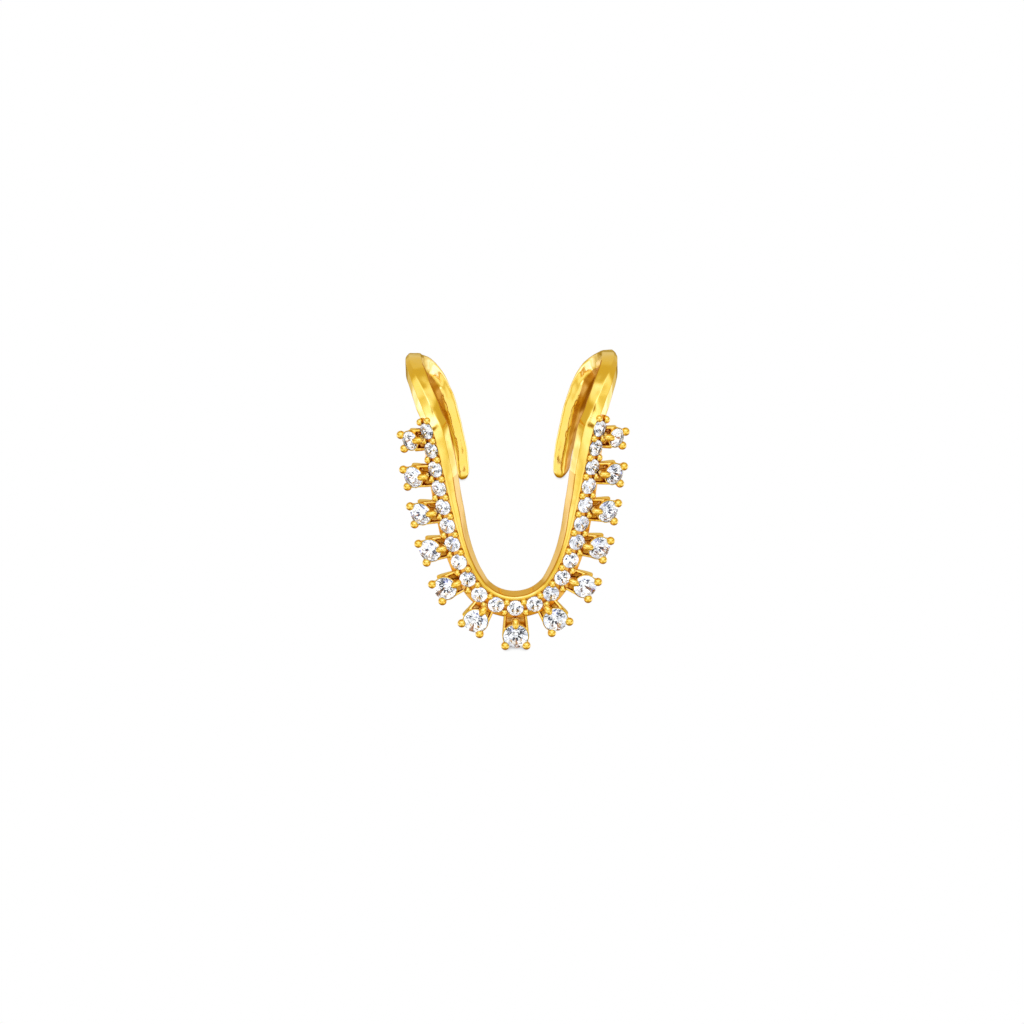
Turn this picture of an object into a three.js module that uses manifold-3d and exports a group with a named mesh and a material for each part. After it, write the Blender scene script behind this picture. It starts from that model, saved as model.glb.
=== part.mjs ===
// Vanki ring: an open-backed finger ring with a U-shaped front, set with a row of small brilliants and a fringe of
// larger ones on stems. The shank leaves the top of each arm, wraps round the side of the finger and turns down
// behind it into a free, rounded tail.
// Millimetres, +Z up. The ring lies at rest on its lowest setting and the ends of its two tails.
//
// The band follows the finger, so it is laid out on the unrolled finger opening and then wrapped round it:
//   round  distance round the finger from the middle of the front, positive towards +X
//   rise   height along the finger, zero at the middle of the front
//   out    distance out from the layout surface, which runs inside the band's wall, away from the finger
import * as THREE from 'three';
import { mergeVertices } from 'three/addons/utils/BufferGeometryUtils.js';
import Module from 'manifold-3d';

const wasm = await Module();
wasm.setup();

// --- Driving sizes -------------------------------------------------------------------------------------------------
const HOOP = { halfWidth: 9.28, halfDepth: 9.28, squareness: 3 }; // layout surface inside the wall, a rounded square
const LEAN = THREE.MathUtils.degToRad(26.65); // how far the finger axis leans back at rest

const GAP = 0.05; // clearance round each stone
const EDGE = 0.12; // small bevel on the band's edges

const ROW = { stones: 11, pitch: 1.82, diameter: 1.5, sink: 0.14 }; // stones a side of the middle one
const BEAD = { radius: 0.27, spread: 0.52 };

// Right half of the band. inner and outer are the distances from the row's line to the two edges of the face, inner
// being the edge towards the finger opening's middle; bevel is the polished bevel along that edge. face and back are
// how far the wall reaches from the layout surface, away from the finger and towards it.
const BAND = [
  { round: 0, rise: 0, inner: 1.16, outer: 1, face: 0.65, back: 0.97, bevel: 0.14 },
  { round: 1.8, rise: 0.37, inner: 1.16, outer: 1, face: 0.65, back: 0.97, bevel: 0.14 },
  { round: 3.31, rise: 1.39, inner: 1.17, outer: 1.02, face: 0.65, back: 0.97, bevel: 0.14 },
  { round: 4.3, rise: 2.85, inner: 1.18, outer: 1.04, face: 0.65, back: 1.06, bevel: 0.15 },
  { round: 5.07, rise: 4.5, inner: 1.2, outer: 1.04, face: 0.65, back: 1.1, bevel: 0.16 },
  { round: 5.65, rise: 6.25, inner: 1.22, outer: 1.04, face: 0.65, back: 1.12, bevel: 0.18 },
  { round: 6.49, rise: 9.8, inner: 1.36, outer: 1.04, face: 0.65, back: 1.12, bevel: 0.32 },
  { round: 7.24, rise: 13.4, inner: 1.45, outer: 1.02, face: 0.65, back: 1.08, bevel: 0.48 },
  { round: 8.06, rise: 16.7, inner: 1.45, outer: 0.96, face: 0.65, back: 1.02, bevel: 0.58 },
  { round: 8.75, rise: 18.35, inner: 1.08, outer: 0.56, face: 0.65, back: 0.97, bevel: 0.58 },
  { round: 9.75, rise: 19.8, inner: 0.96, outer: 0.62, face: 0.65, back: 0.95, bevel: 0.54 },
  { round: 11.3, rise: 20.85, inner: 0.92, outer: 0.74, face: 0.63, back: 0.93, bevel: 0.42 },
  { round: 13.3, rise: 21.15, inner: 0.88, outer: 0.92, face: 0.6, back: 0.9, bevel: 0.36 },
  { round: 15.7, rise: 20.85, inner: 0.82, outer: 1.02, face: 0.58, back: 0.88, bevel: 0.3 },
  { round: 19.2, rise: 19.75, inner: 0.8, outer: 1.26, face: 0.56, back: 0.86, bevel: 0.25 },
  { round: 22.15, rise: 18.25, inner: 0.8, outer: 1.42, face: 0.56, back: 0.86, bevel: 0.2 },
  { round: 23.7, rise: 16.7, inner: 0.8, outer: 1.42, face: 0.56, back: 0.86, bevel: 0.2 },
  { round: 24.65, rise: 14.9, inner: 0.78, outer: 1.3, face: 0.56, back: 0.86, bevel: 0.2 },
  { round: 25.3, rise: 13, inner: 0.76, outer: 1.12, face: 0.56, back: 0.86, bevel: 0.2 },
  { round: 25.92, rise: 10.3, inner: 0.74, outer: 0.96, face: 0.56, back: 0.86, bevel: 0.2 },
  { round: 26.36, rise: 7.9, inner: 0.7, outer: 0.8, face: 0.56, back: 0.86, bevel: 0.2 },
  { round: 26.5, rise: 5.85, inner: 0.68, outer: 0.68, face: 0.56, back: 0.86, bevel: 0.2 },
];
const STATION_STEP = 0.95; // along the band

// Fringe, from the middle outwards. along counts row pitches from the middle; reach is how far the stone's centre
// stands out past the row's line and lift how far its girdle stands out from the layout surface. spread holds the
// angles of the two ball prongs from straight out and stem how far the stem reaches to each side, in both of them the
// side towards the shank first.
const FRINGE = [
  { along: 0, diameter: 2.3, reach: 2.55, lift: 1.3, spread: [48, 48], stem: [1.06, 1.06] },
  { along: 1.46, diameter: 2.25, reach: 2.08, lift: 1.3, spread: [49, 49], stem: [0.95, 1.05] },
  { along: 3.14, diameter: 2.15, reach: 2.15, lift: 1.3, spread: [46, 51], stem: [0.92, 1.22] },
  { along: 4.98, diameter: 2.1, reach: 2.08, lift: 1.3, spread: [45, 60], stem: [0.9, 1.26] },
  { along: 6.84, diameter: 2.05, reach: 2.12, lift: 1.3, spread: [46, 49], stem: [0.88, 1.3] },
  { along: 8.76, diameter: 1.95, reach: 2.14, lift: 1.3, spread: [43, 49], stem: [0.84, 1.28] },
  { along: 10.68, diameter: 1.75, reach: 1.78, lift: 1.25, spread: [38, 40], stem: [0.8, 1.26] },
];
const TURN = 0.85; // share of the band's own turn that a stone's axis takes
const PRONG = { ball: 0.38, wire: 0.27, claw: 0.3, clawLength: 1.5 };
const CUP = { rim: 0.12, foot: 0.58, depth: 0.6 }; // rim in mm, foot in stone radii, depth in diameters

// Cut of every stone, in diameters
const CUT = { table: 0.56, crown: 0.15, girdle: 0.04, pavilion: 0.42, sides: 8 };

const GOLD = new THREE.MeshStandardMaterial({ color: 0xf0bb43, roughness: 0.12, metalness: 1 });
const DIAMOND = new THREE.MeshStandardMaterial({ color: 0xf4f8fb, roughness: 0.03, metalness: 0 });

// --- Solids --------------------------------------------------------------------------------------------------------
/** Turns a closed three.js geometry into a solid that can be joined and cut. */
function toSolid(geometry) {
  const bare = geometry.clone();
  bare.deleteAttribute('normal');
  bare.deleteAttribute('uv');
  const merged = mergeVertices(bare, 1e-5);
  const index = merged.index.array;
  const triVerts = [];
  for (let i = 0; i < index.length; i += 3) {
    const [a, b, c] = [index[i], index[i + 1], index[i + 2]];
    if (a !== b && b !== c && c !== a) triVerts.push(a, b, c);
  }
  const vertProperties = new Float32Array(merged.attributes.position.array);
  return new wasm.Manifold(new wasm.Mesh({ numProp: 3, vertProperties, triVerts: new Uint32Array(triVerts) }));
}

/** Turns a solid back into a flat-shaded geometry. */
function toGeometry(solid) {
  const { vertProperties, triVerts } = solid.getMesh();
  const geometry = new THREE.BufferGeometry();
  geometry.setAttribute('position', new THREE.BufferAttribute(new Float32Array(vertProperties), 3));
  geometry.setIndex(new THREE.BufferAttribute(new Uint32Array(triVerts), 1));
  geometry.computeVertexNormals();
  return geometry;
}

// --- Finger opening ------------------------------------------------------------------------------------------------
/** Looks up the hoop by distance round the finger. */
class Hoop {
  constructor({ halfWidth, halfDepth, squareness }, samples = 2880) {
    this.points = [];
    let length = 0;
    for (let i = 0; i <= samples; i++) {
      const angle = (i / samples) * 2 * Math.PI - Math.PI / 2;
      const [c, s] = [Math.cos(angle), Math.sin(angle)];
      const shape = Math.abs(c / halfWidth) ** squareness + Math.abs(s / halfDepth) ** squareness;
      const radius = shape ** (-1 / squareness);
      const [x, y] = [radius * c, radius * s];
      const nx = (Math.sign(x) * Math.abs(x / halfWidth) ** (squareness - 1)) / halfWidth;
      const ny = (Math.sign(y) * Math.abs(y / halfDepth) ** (squareness - 1)) / halfDepth;
      const last = this.points[i - 1];
      if (last) length += Math.hypot(x - last.x, y - last.y);
      this.points.push({ x, y, nx, ny, length });
    }
    this.length = length;
  }

  /** The frame of the layout surface at this distance round: its point and the directions round, up and out. */
  at(round) {
    const wanted = THREE.MathUtils.euclideanModulo(round, this.length);
    let [low, high] = [0, this.points.length - 1];
    while (high - low > 1) {
      const middle = (low + high) >> 1;
      if (this.points[middle].length > wanted) high = middle;
      else low = middle;
    }
    const [a, b] = [this.points[low], this.points[high]];
    const t = (wanted - a.length) / (b.length - a.length);
    const mix = (key) => a[key] + (b[key] - a[key]) * t;
    const out = new THREE.Vector3(mix('nx'), mix('ny'), 0).normalize();
    return { point: new THREE.Vector3(mix('x'), mix('y'), 0), out, along: new THREE.Vector3(-out.y, out.x, 0) };
  }

  /** Wraps a point of the unrolled layout round the finger. */
  wrap(round, rise, out) {
    const frame = this.at(round);
    return frame.point.addScaledVector(frame.out, out).setZ(rise);
  }
}

const hoop = new Hoop(HOOP);

// --- Band ----------------------------------------------------------------------------------------------------------
/** The band's line on the unrolled layout, from the left tail's end round the front to the right tail's end. */
class BandLine {
  constructor(stations) {
    const left = stations.slice(1).reverse().map((s) => ({ ...s, round: -s.round }));
    this.stations = [...left, ...stations];
    const points = this.stations.map((s) => new THREE.Vector3(s.round, s.rise, 0));
    this.curve = new THREE.CatmullRomCurve3(points, false, 'centripetal');
    this.curve.arcLengthDivisions = 1600;
    this.length = this.curve.getLength();
    this.middle = this.length / 2;
  }

  /** Point, tangent and side (towards the outer edge) at this distance along from the middle of the front. */
  at(distance) {
    const u = THREE.MathUtils.clamp((distance + this.middle) / this.length, 0, 1);
    const point = this.curve.getPointAt(u);
    const tangent = this.curve.getTangentAt(u);
    return { u, point, tangent, side: new THREE.Vector3(tangent.y, -tangent.x, 0) };
  }

  /** A named size of the section, eased between the stations. */
  size(name, distance) {
    const u = THREE.MathUtils.clamp((distance + this.middle) / this.length, 0, 1);
    const place = this.curve.getUtoTmapping(u) * (this.stations.length - 1);
    const i = Math.min(Math.floor(place), this.stations.length - 2);
    const t = THREE.MathUtils.smoothstep(place - i, 0, 1);
    return THREE.MathUtils.lerp(this.stations[i][name], this.stations[i + 1][name], t);
  }
}

const line = new BandLine(BAND);
const ROW_END = (ROW.stones + 0.72) * ROW.pitch;

/** The section's corners at a distance along the band, as [side, out] pairs, anticlockwise from the outer edge. */
function bandSection(distance) {
  const names = ['inner', 'outer', 'face', 'back', 'bevel'];
  const [inner, outer, face, back, bevel] = names.map((name) => line.size(name, distance));
  const sink = ROW.sink * THREE.MathUtils.smoothstep(ROW_END - Math.abs(distance), -0.3, 0.3);
  const ledge = Math.min(ROW.diameter / 2 + GAP, inner - bevel - 0.06);
  return [
    [outer, EDGE - back],
    [outer, face - sink - EDGE],
    [outer - EDGE, face - sink],
    [-ledge, face - sink],
    [-ledge - 0.03, face],
    [bevel - inner, face],
    [-inner, face - bevel],
    [-inner, EDGE - back],
    [EDGE - inner, -back],
    [outer - EDGE, -back],
  ];
}

/** The whole band: a prism of rings of section corners, wrapped round the finger, with rounded tail ends. */
function makeBand() {
  const round = line.size('outer', line.middle);
  const straight = line.length / 2 - round;
  const steps = 2 * Math.round(straight / STATION_STEP) + 1; // odd, so a flat facet faces the finger in the middle
  const at = (i) => ({ distance: (i / steps - 0.5) * 2 * straight, scale: 1 });
  const stations = Array.from({ length: steps + 1 }, (_, i) => at(i));
  for (const share of [0.4, 0.72, 0.93]) {
    const end = { distance: straight + share * round, scale: Math.sqrt(1 - share * share) };
    stations.push(end);
    stations.unshift({ ...end, distance: -end.distance });
  }
  const sides = bandSection(0).length;
  const blank = new THREE.CylinderGeometry(1, 1, stations.length - 1, sides, stations.length - 1);
  blank.deleteAttribute('normal');
  blank.deleteAttribute('uv');
  const geometry = mergeVertices(blank, 1e-4);
  const position = geometry.attributes.position;
  for (let i = 0; i < position.count; i++) {
    const [x, y, z] = [position.getX(i), position.getY(i), position.getZ(i)];
    const { distance, scale } = stations[Math.round(y + (stations.length - 1) / 2)];
    const section = bandSection(distance);
    const turn = Math.round((Math.atan2(z, x) / (2 * Math.PI)) * sides + sides) % sides;
    const centre = (section[0][0] + section[6][0]) / 2;
    const onAxis = Math.hypot(x, z) < 0.5;
    const middle = (section[4][1] + section[8][1]) / 2;
    const [side, out] = onAxis ? [centre, middle] : section[turn];
    const place = line.at(distance);
    const spot = place.point.addScaledVector(place.side, centre + (side - centre) * scale);
    const wrapped = hoop.wrap(spot.x, spot.y, middle + (out - middle) * scale);
    position.setXYZ(i, wrapped.x, wrapped.y, wrapped.z);
  }
  return toSolid(geometry);
}

// --- Stones --------------------------------------------------------------------------------------------------------
/** Spins a profile of [radius, height] corners round +Z. */
function spin(profile, sides) {
  return new THREE.LatheGeometry(profile.map(([x, y]) => new THREE.Vector2(x, y)), sides).rotateX(Math.PI / 2);
}

/** A round cut stone: flat table, a ring of crown facets, girdle and pavilion, with its girdle's middle at 0, +Z up. */
function stoneGeometry(diameter, clearance = 0) {
  const radius = diameter / 2 + clearance;
  const half = (CUT.girdle * diameter) / 2;
  const top = half + CUT.crown * diameter + clearance;
  const depth = half + CUT.pavilion * diameter + clearance;
  const table = (CUT.table * diameter) / 2 + clearance;
  return spin([[0, -depth], [radius, -half], [radius, half], [table, top], [0, top]], CUT.sides);
}

/** The seat drilled for a row stone: a cone with a straight wall above it. */
function pocketGeometry(diameter) {
  const radius = diameter / 2 + GAP;
  const half = (CUT.girdle * diameter) / 2;
  return spin([[0, -half - CUT.pavilion * diameter - GAP], [radius, -half], [radius, 0.5], [0, 0.5]], CUT.sides);
}

/** A matrix that stands a shape's +Z along an axis with its +Y as near as can be to a given direction. */
function stand(point, axis, forward) {
  const z = axis.clone().normalize();
  const x = new THREE.Vector3().crossVectors(forward, z).normalize();
  const y = new THREE.Vector3().crossVectors(z, x);
  return new THREE.Matrix4().makeBasis(x, y, z).setPosition(point);
}

/** The axis of a stone set on the band here: it turns a little less than the band's own face does. */
function stoneAxis(frame) {
  const turn = Math.atan2(frame.out.x, -frame.out.y) * TURN;
  const axis = new THREE.Vector3(Math.sin(turn), -Math.cos(turn), 0);
  return { axis, round: new THREE.Vector3(Math.cos(turn), Math.sin(turn), 0) };
}

/** Seat of the row stone at a distance along the band. */
function rowSeat(distance) {
  const { point, tangent } = line.at(distance);
  const { axis, round } = stoneAxis(hoop.at(point.x));
  const forward = round.multiplyScalar(tangent.x).setZ(tangent.y);
  const out = line.size('face', distance) - ROW.sink + 0.07;
  return { point: hoop.wrap(point.x, point.y, out), axis, forward, diameter: ROW.diameter };
}

/** Seat of a fringe stone: it stands out from the row, in the plane square to its own axis. */
function fringeSeat(place, mirror) {
  const { point, side } = line.at(place.along * ROW.pitch * mirror);
  const { axis, round } = stoneAxis(hoop.at(point.x));
  const forward = round.multiplyScalar(side.x).setZ(side.y).normalize();
  const centre = hoop.wrap(point.x, point.y, 0).addScaledVector(axis, place.lift).addScaledVector(forward, place.reach);
  return { ...place, point: centre, axis, forward, mirror };
}

// --- Settings ------------------------------------------------------------------------------------------------------
/** A round bead half sunk in the face of the band. */
function bead(point, axis) {
  const sphere = new THREE.SphereGeometry(BEAD.radius, 6, 4).rotateX(Math.PI / 2);
  return toSolid(sphere.applyMatrix4(stand(point, axis, new THREE.Vector3(0, 0, 1))));
}

/** A round prong from its foot to the middle of its rounded tip, stretched along forward by length. */
function prong(foot, tip, wire, ball, forward, length = 1) {
  const axis = new THREE.Vector3().subVectors(tip, foot);
  const reach = axis.length();
  const tipProfile = [[ball, reach - 0.2 * ball], [0.72 * ball, reach + 0.7 * ball], [0, reach + ball]];
  const profile = [[0, 0], [wire, 0], [wire, reach - ball], ...tipProfile];
  return toSolid(spin(profile, 6).scale(1, length, 1).applyMatrix4(stand(foot, axis, forward)));
}

/** The cup, stem, two ball prongs and claw of one fringe stone. */
function makeSetting({ point, axis, forward, diameter, reach, lift, spread, stem, mirror }) {
  const radius = diameter / 2;
  const floor = -CUP.depth * diameter;
  const frame = stand(point, axis, forward);
  const local = (x, y, z) => new THREE.Vector3(x, y, z).applyMatrix4(frame);
  const cup = new THREE.CylinderGeometry(radius + CUP.rim, radius * CUP.foot, -0.1 - floor, 8).rotateX(Math.PI / 2);
  const parts = [toSolid(cup.translate(0, 0, (floor - 0.1) / 2).applyMatrix4(frame))];
  const side = [
    [0.25 - reach, -lift - 0.4],
    [radius * 0.2, floor],
    [radius * 0.4, -0.4],
    [-radius * 0.85, -0.4],
    [0.55 - reach, 0.42 - lift],
  ];
  const [shankward, away] = stem;
  const outline = new THREE.Shape(side.map(([y, z]) => new THREE.Vector2(y, z)));
  const block = new THREE.ExtrudeGeometry(outline, { depth: shankward + away, bevelEnabled: false });
  block.translate(0, 0, mirror < 0 ? -away : -shankward);
  const [localX, localY, localZ] = [new THREE.Vector3(1, 0, 0), new THREE.Vector3(0, 1, 0), new THREE.Vector3(0, 0, 1)];
  const upright = new THREE.Matrix4().makeBasis(localY, localZ, localX);
  parts.push(toSolid(block.applyMatrix4(upright).applyMatrix4(frame)));
  for (const way of [-1, 1]) {
    const angle = THREE.MathUtils.degToRad(way * mirror > 0 ? spread[1] : spread[0]) * way;
    const [foot, tip] = [radius * 0.62, radius + PRONG.ball * 0.45];
    const [x, y] = [Math.sin(angle), Math.cos(angle)];
    const [from, to] = [local(x * foot, y * foot, floor + 0.2), local(x * tip, y * tip, 0.12)];
    parts.push(prong(from, to, PRONG.wire, PRONG.ball, forward));
  }
  const back = radius + PRONG.claw * 0.5;
  const [foot, tip] = [local(0, -radius * 0.7, floor + 0.3), local(0, -back, 0.14)];
  parts.push(prong(foot, tip, PRONG.claw, PRONG.claw, forward, PRONG.clawLength));
  return parts;
}

// --- Assembly ------------------------------------------------------------------------------------------------------
const stones = [];
for (let i = -ROW.stones; i <= ROW.stones; i++) {
  const name = i === 0 ? 'row_stone_center' : `row_stone_${i < 0 ? 'left' : 'right'}_${Math.abs(i)}`;
  stones.push({ name, seat: rowSeat(i * ROW.pitch) });
}
FRINGE.forEach((entry, i) => {
  for (const mirror of i === 0 ? [1] : [-1, 1]) {
    const name = i === 0 ? 'fringe_stone_center' : `fringe_stone_${mirror < 0 ? 'left' : 'right'}_${i}`;
    stones.push({ name, seat: fringeSeat(entry, mirror), fringe: true });
  }
});

const metal = [makeBand()];
for (let i = -ROW.stones - 0.5; i <= ROW.stones + 0.5; i++) {
  for (const way of [-1, 1]) {
    const { point, side } = line.at(i * ROW.pitch);
    const spot = point.clone().addScaledVector(side, way * BEAD.spread);
    const frame = hoop.at(spot.x);
    const out = line.size('face', i * ROW.pitch) - ROW.sink + 0.08;
    metal.push(bead(hoop.wrap(spot.x, spot.y, out), frame.out));
  }
}
for (const { seat, fringe } of stones) if (fringe) metal.push(...makeSetting(seat));
let body = wasm.Manifold.union(metal);
for (const { seat, fringe } of stones) {
  const cutter = fringe ? stoneGeometry(seat.diameter, GAP) : pocketGeometry(seat.diameter);
  body = body.subtract(toSolid(cutter.applyMatrix4(stand(seat.point, seat.axis, seat.forward))));
}

const ring = new THREE.Group();
const bodyMesh = new THREE.Mesh(toGeometry(body), GOLD.clone());
bodyMesh.name = 'ring_body';
ring.add(bodyMesh);
for (const { name, seat } of stones) {
  const mesh = new THREE.Mesh(toGeometry(toSolid(stoneGeometry(seat.diameter))), DIAMOND.clone());
  mesh.name = name;
  mesh.applyMatrix4(stand(seat.point, seat.axis, seat.forward));
  ring.add(mesh);
}
ring.rotation.x = -LEAN;

const group = new THREE.Group();
group.add(ring);
group.updateMatrixWorld(true);
const box = new THREE.Box3().setFromObject(group, true);
ring.position.set(-(box.min.x + box.max.x) / 2, -(box.min.y + box.max.y) / 2, -box.min.z);

export default group;
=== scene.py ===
"""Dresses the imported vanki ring: a finely swept gold band, cast settings, grain beads and cut stones.

All shapes are laid out in millimetres on the unrolled finger opening, wrapped round the finger, leaned
back to the ring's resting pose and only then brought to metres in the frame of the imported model.
"""

import logging
import math
from dataclasses import dataclass, field
from enum import Enum

import bmesh
import bpy
import numpy as np
from mathutils import Matrix, Vector, noise

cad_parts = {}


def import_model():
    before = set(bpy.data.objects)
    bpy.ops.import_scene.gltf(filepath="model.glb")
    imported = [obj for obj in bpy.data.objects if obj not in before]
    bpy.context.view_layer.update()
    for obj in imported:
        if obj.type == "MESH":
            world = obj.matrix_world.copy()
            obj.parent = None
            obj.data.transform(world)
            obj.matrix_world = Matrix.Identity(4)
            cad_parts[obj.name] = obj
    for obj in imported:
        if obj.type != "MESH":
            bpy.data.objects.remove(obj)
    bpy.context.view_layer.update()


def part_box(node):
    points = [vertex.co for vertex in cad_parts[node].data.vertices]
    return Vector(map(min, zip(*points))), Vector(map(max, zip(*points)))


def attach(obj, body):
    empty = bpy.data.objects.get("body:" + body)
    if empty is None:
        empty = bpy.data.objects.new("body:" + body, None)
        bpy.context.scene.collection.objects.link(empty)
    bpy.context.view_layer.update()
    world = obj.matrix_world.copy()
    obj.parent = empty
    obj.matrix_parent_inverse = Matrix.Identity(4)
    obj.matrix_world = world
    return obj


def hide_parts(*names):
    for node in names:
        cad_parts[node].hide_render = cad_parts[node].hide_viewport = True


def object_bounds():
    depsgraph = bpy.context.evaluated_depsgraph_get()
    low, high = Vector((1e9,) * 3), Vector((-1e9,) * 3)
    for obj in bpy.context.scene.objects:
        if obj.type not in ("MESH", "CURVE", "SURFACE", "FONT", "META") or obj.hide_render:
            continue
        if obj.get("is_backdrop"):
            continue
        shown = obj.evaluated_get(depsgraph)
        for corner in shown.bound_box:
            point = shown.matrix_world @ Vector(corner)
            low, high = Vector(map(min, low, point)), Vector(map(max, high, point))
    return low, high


LOG = logging.getLogger("vanki_ring")
BODY = "root"
MM = 0.001
TINY = 1e-6

SECTION_SIZES = ("inner", "outer", "face", "back", "bevel")

Pair = tuple[float, float]
Colour = tuple[float, float, float, float]


# --- Layout ---------------------------------------------------------------------------------------
class Way(Enum):
    """Which half of the ring a thing is on."""

    LEFT = -1
    RIGHT = 1


@dataclass(frozen=True)
class Station:
    """A place on the band's line and the sizes of its section there, in millimetres.

    inner and outer are the distances from the row's line to the edges of the face, inner being the
    finger's side; face and back are how far the wall reaches from the hoop, away from the finger and
    towards it.
    """

    round: float
    rise: float
    inner: float
    outer: float
    face: float
    back: float
    bevel: float


@dataclass(frozen=True)
class FringePlace:
    """Where a fringe stone stands and how large it is, in millimetres and degrees.

    along counts row pitches. spread holds the angles of the two ball prongs from straight out and stem
    how far the stem reaches to each side, in both of them the side towards the shank first.
    """

    along: float
    diameter: float
    reach: float
    lift: float
    spread: Pair
    stem: Pair


@dataclass(frozen=True)
class Seat:
    """A stone's seat: the girdle's middle, the stone's axis, the way out from the row, and the diameter.

    A fringe stone's seat also holds its place and the half of the ring that it is on.
    """

    name: str
    point: Vector
    axis: Vector
    forward: Vector
    diameter: float
    fringe: FringePlace | None = None
    way: Way = Way.RIGHT

    def frame(self) -> Matrix:
        """The seat's own frame.

        Returns:
            The matrix that stands +Z along the axis with +Y as near as can be to forward.
        """
        z = self.axis.normalized()
        x = self.forward.cross(z).normalized()
        y = z.cross(x)
        turn = Matrix((x, y, z)).transposed().to_4x4()
        return Matrix.Translation(self.point) @ turn


BAND_STATIONS = (
    Station(0.0, 0.0, 1.16, 1.0, 0.65, 0.97, 0.14),
    Station(1.8, 0.37, 1.16, 1.0, 0.65, 0.97, 0.14),
    Station(3.31, 1.39, 1.17, 1.02, 0.65, 0.97, 0.14),
    Station(4.3, 2.85, 1.18, 1.04, 0.65, 1.06, 0.15),
    Station(5.07, 4.5, 1.2, 1.04, 0.65, 1.1, 0.16),
    Station(5.65, 6.25, 1.22, 1.04, 0.65, 1.12, 0.18),
    Station(6.49, 9.8, 1.36, 1.04, 0.65, 1.12, 0.32),
    Station(7.24, 13.4, 1.45, 1.02, 0.65, 1.08, 0.48),
    Station(8.06, 16.7, 1.45, 0.96, 0.65, 1.02, 0.58),
    Station(8.75, 18.35, 1.08, 0.56, 0.65, 0.97, 0.58),
    Station(9.75, 19.8, 0.96, 0.62, 0.65, 0.95, 0.54),
    Station(11.3, 20.85, 0.92, 0.74, 0.63, 0.93, 0.42),
    Station(13.3, 21.15, 0.88, 0.92, 0.6, 0.9, 0.36),
    Station(15.7, 20.85, 0.82, 1.02, 0.58, 0.88, 0.3),
    Station(19.2, 19.75, 0.8, 1.26, 0.56, 0.86, 0.25),
    Station(22.15, 18.25, 0.8, 1.42, 0.56, 0.86, 0.2),
    Station(23.7, 16.7, 0.8, 1.42, 0.56, 0.86, 0.2),
    Station(24.65, 14.9, 0.78, 1.3, 0.56, 0.86, 0.2),
    Station(25.3, 13.0, 0.76, 1.12, 0.56, 0.86, 0.2),
    Station(25.92, 10.3, 0.74, 0.96, 0.56, 0.86, 0.2),
    Station(26.36, 7.9, 0.7, 0.8, 0.56, 0.86, 0.2),
    Station(26.5, 5.85, 0.68, 0.68, 0.56, 0.86, 0.2),
)

FRINGE_PLACES = (
    FringePlace(0.0, 2.3, 2.55, 1.3, (48.0, 48.0), (1.06, 1.06)),
    FringePlace(1.46, 2.25, 2.08, 1.3, (49.0, 49.0), (0.95, 1.05)),
    FringePlace(3.14, 2.15, 2.15, 1.3, (46.0, 51.0), (0.92, 1.22)),
    FringePlace(4.98, 2.1, 2.08, 1.3, (45.0, 60.0), (0.9, 1.26)),
    FringePlace(6.84, 2.05, 2.12, 1.3, (46.0, 49.0), (0.88, 1.3)),
    FringePlace(8.76, 1.95, 2.14, 1.3, (43.0, 49.0), (0.84, 1.28)),
    FringePlace(10.68, 1.75, 1.78, 1.25, (38.0, 40.0), (0.8, 1.26)),
)


def ease(value: float, low: float, high: float) -> float:
    """A smooth step from 0 at low to 1 at high."""
    share = min(1.0, max(0.0, (value - low) / (high - low)))
    return share * share * (3 - 2 * share)


def luck(*place: float) -> float:
    """A lasting chance value, about -1 to 1, that changes smoothly with its three numbers.

    Args:
        *place: The three numbers. Those that are the same at each call only keep one use from another.

    Returns:
        The chance value.
    """
    return noise.noise(Vector(place))


@dataclass
class Hoop:
    """The finger opening, a rounded square, looked up by distance round the finger."""

    half_width: float = 9.28
    half_depth: float = 9.28
    squareness: float = 3.0
    samples: int = 5760

    def __post_init__(self) -> None:
        """Measures the hoop once."""
        angle = np.linspace(0, 2 * np.pi, self.samples + 1) - np.pi / 2
        c, s = np.cos(angle), np.sin(angle)
        power = self.squareness
        whole = np.abs(c / self.half_width) ** power + np.abs(s / self.half_depth) ** power
        radius = whole ** (-1 / power)
        x, y = radius * c, radius * s
        nx = np.sign(x) * np.abs(x / self.half_width) ** (power - 1) / self.half_width
        ny = np.sign(y) * np.abs(y / self.half_depth) ** (power - 1) / self.half_depth
        size = np.hypot(nx, ny)
        self.x, self.y, self.nx, self.ny = x, y, nx / size, ny / size
        self.distance = np.concatenate([[0], np.cumsum(np.hypot(np.diff(x), np.diff(y)))])

    def wrap(self, layout: np.ndarray) -> np.ndarray:
        """Wraps points of the unrolled layout round the finger.

        Args:
            layout: Rows of distance round, rise and distance out.

        Returns:
            The same points in space, one row each.
        """
        round_ = np.mod(layout[:, 0], self.distance[-1])
        x, y, nx, ny = (np.interp(round_, self.distance, v) for v in (self.x, self.y, self.nx, self.ny))
        size = np.hypot(nx, ny)
        out = layout[:, 2] / size
        return np.column_stack([x + nx * out, y + ny * out, layout[:, 1]])

    def outward(self, round_: float) -> Vector:
        """The direction away from the finger.

        Args:
            round_: Distance round the finger.

        Returns:
            The level unit vector there.
        """
        place = round_ % self.distance[-1]
        nx, ny = (float(np.interp(place, self.distance, v)) for v in (self.nx, self.ny))
        return Vector((nx, ny, 0)).normalized()


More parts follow.
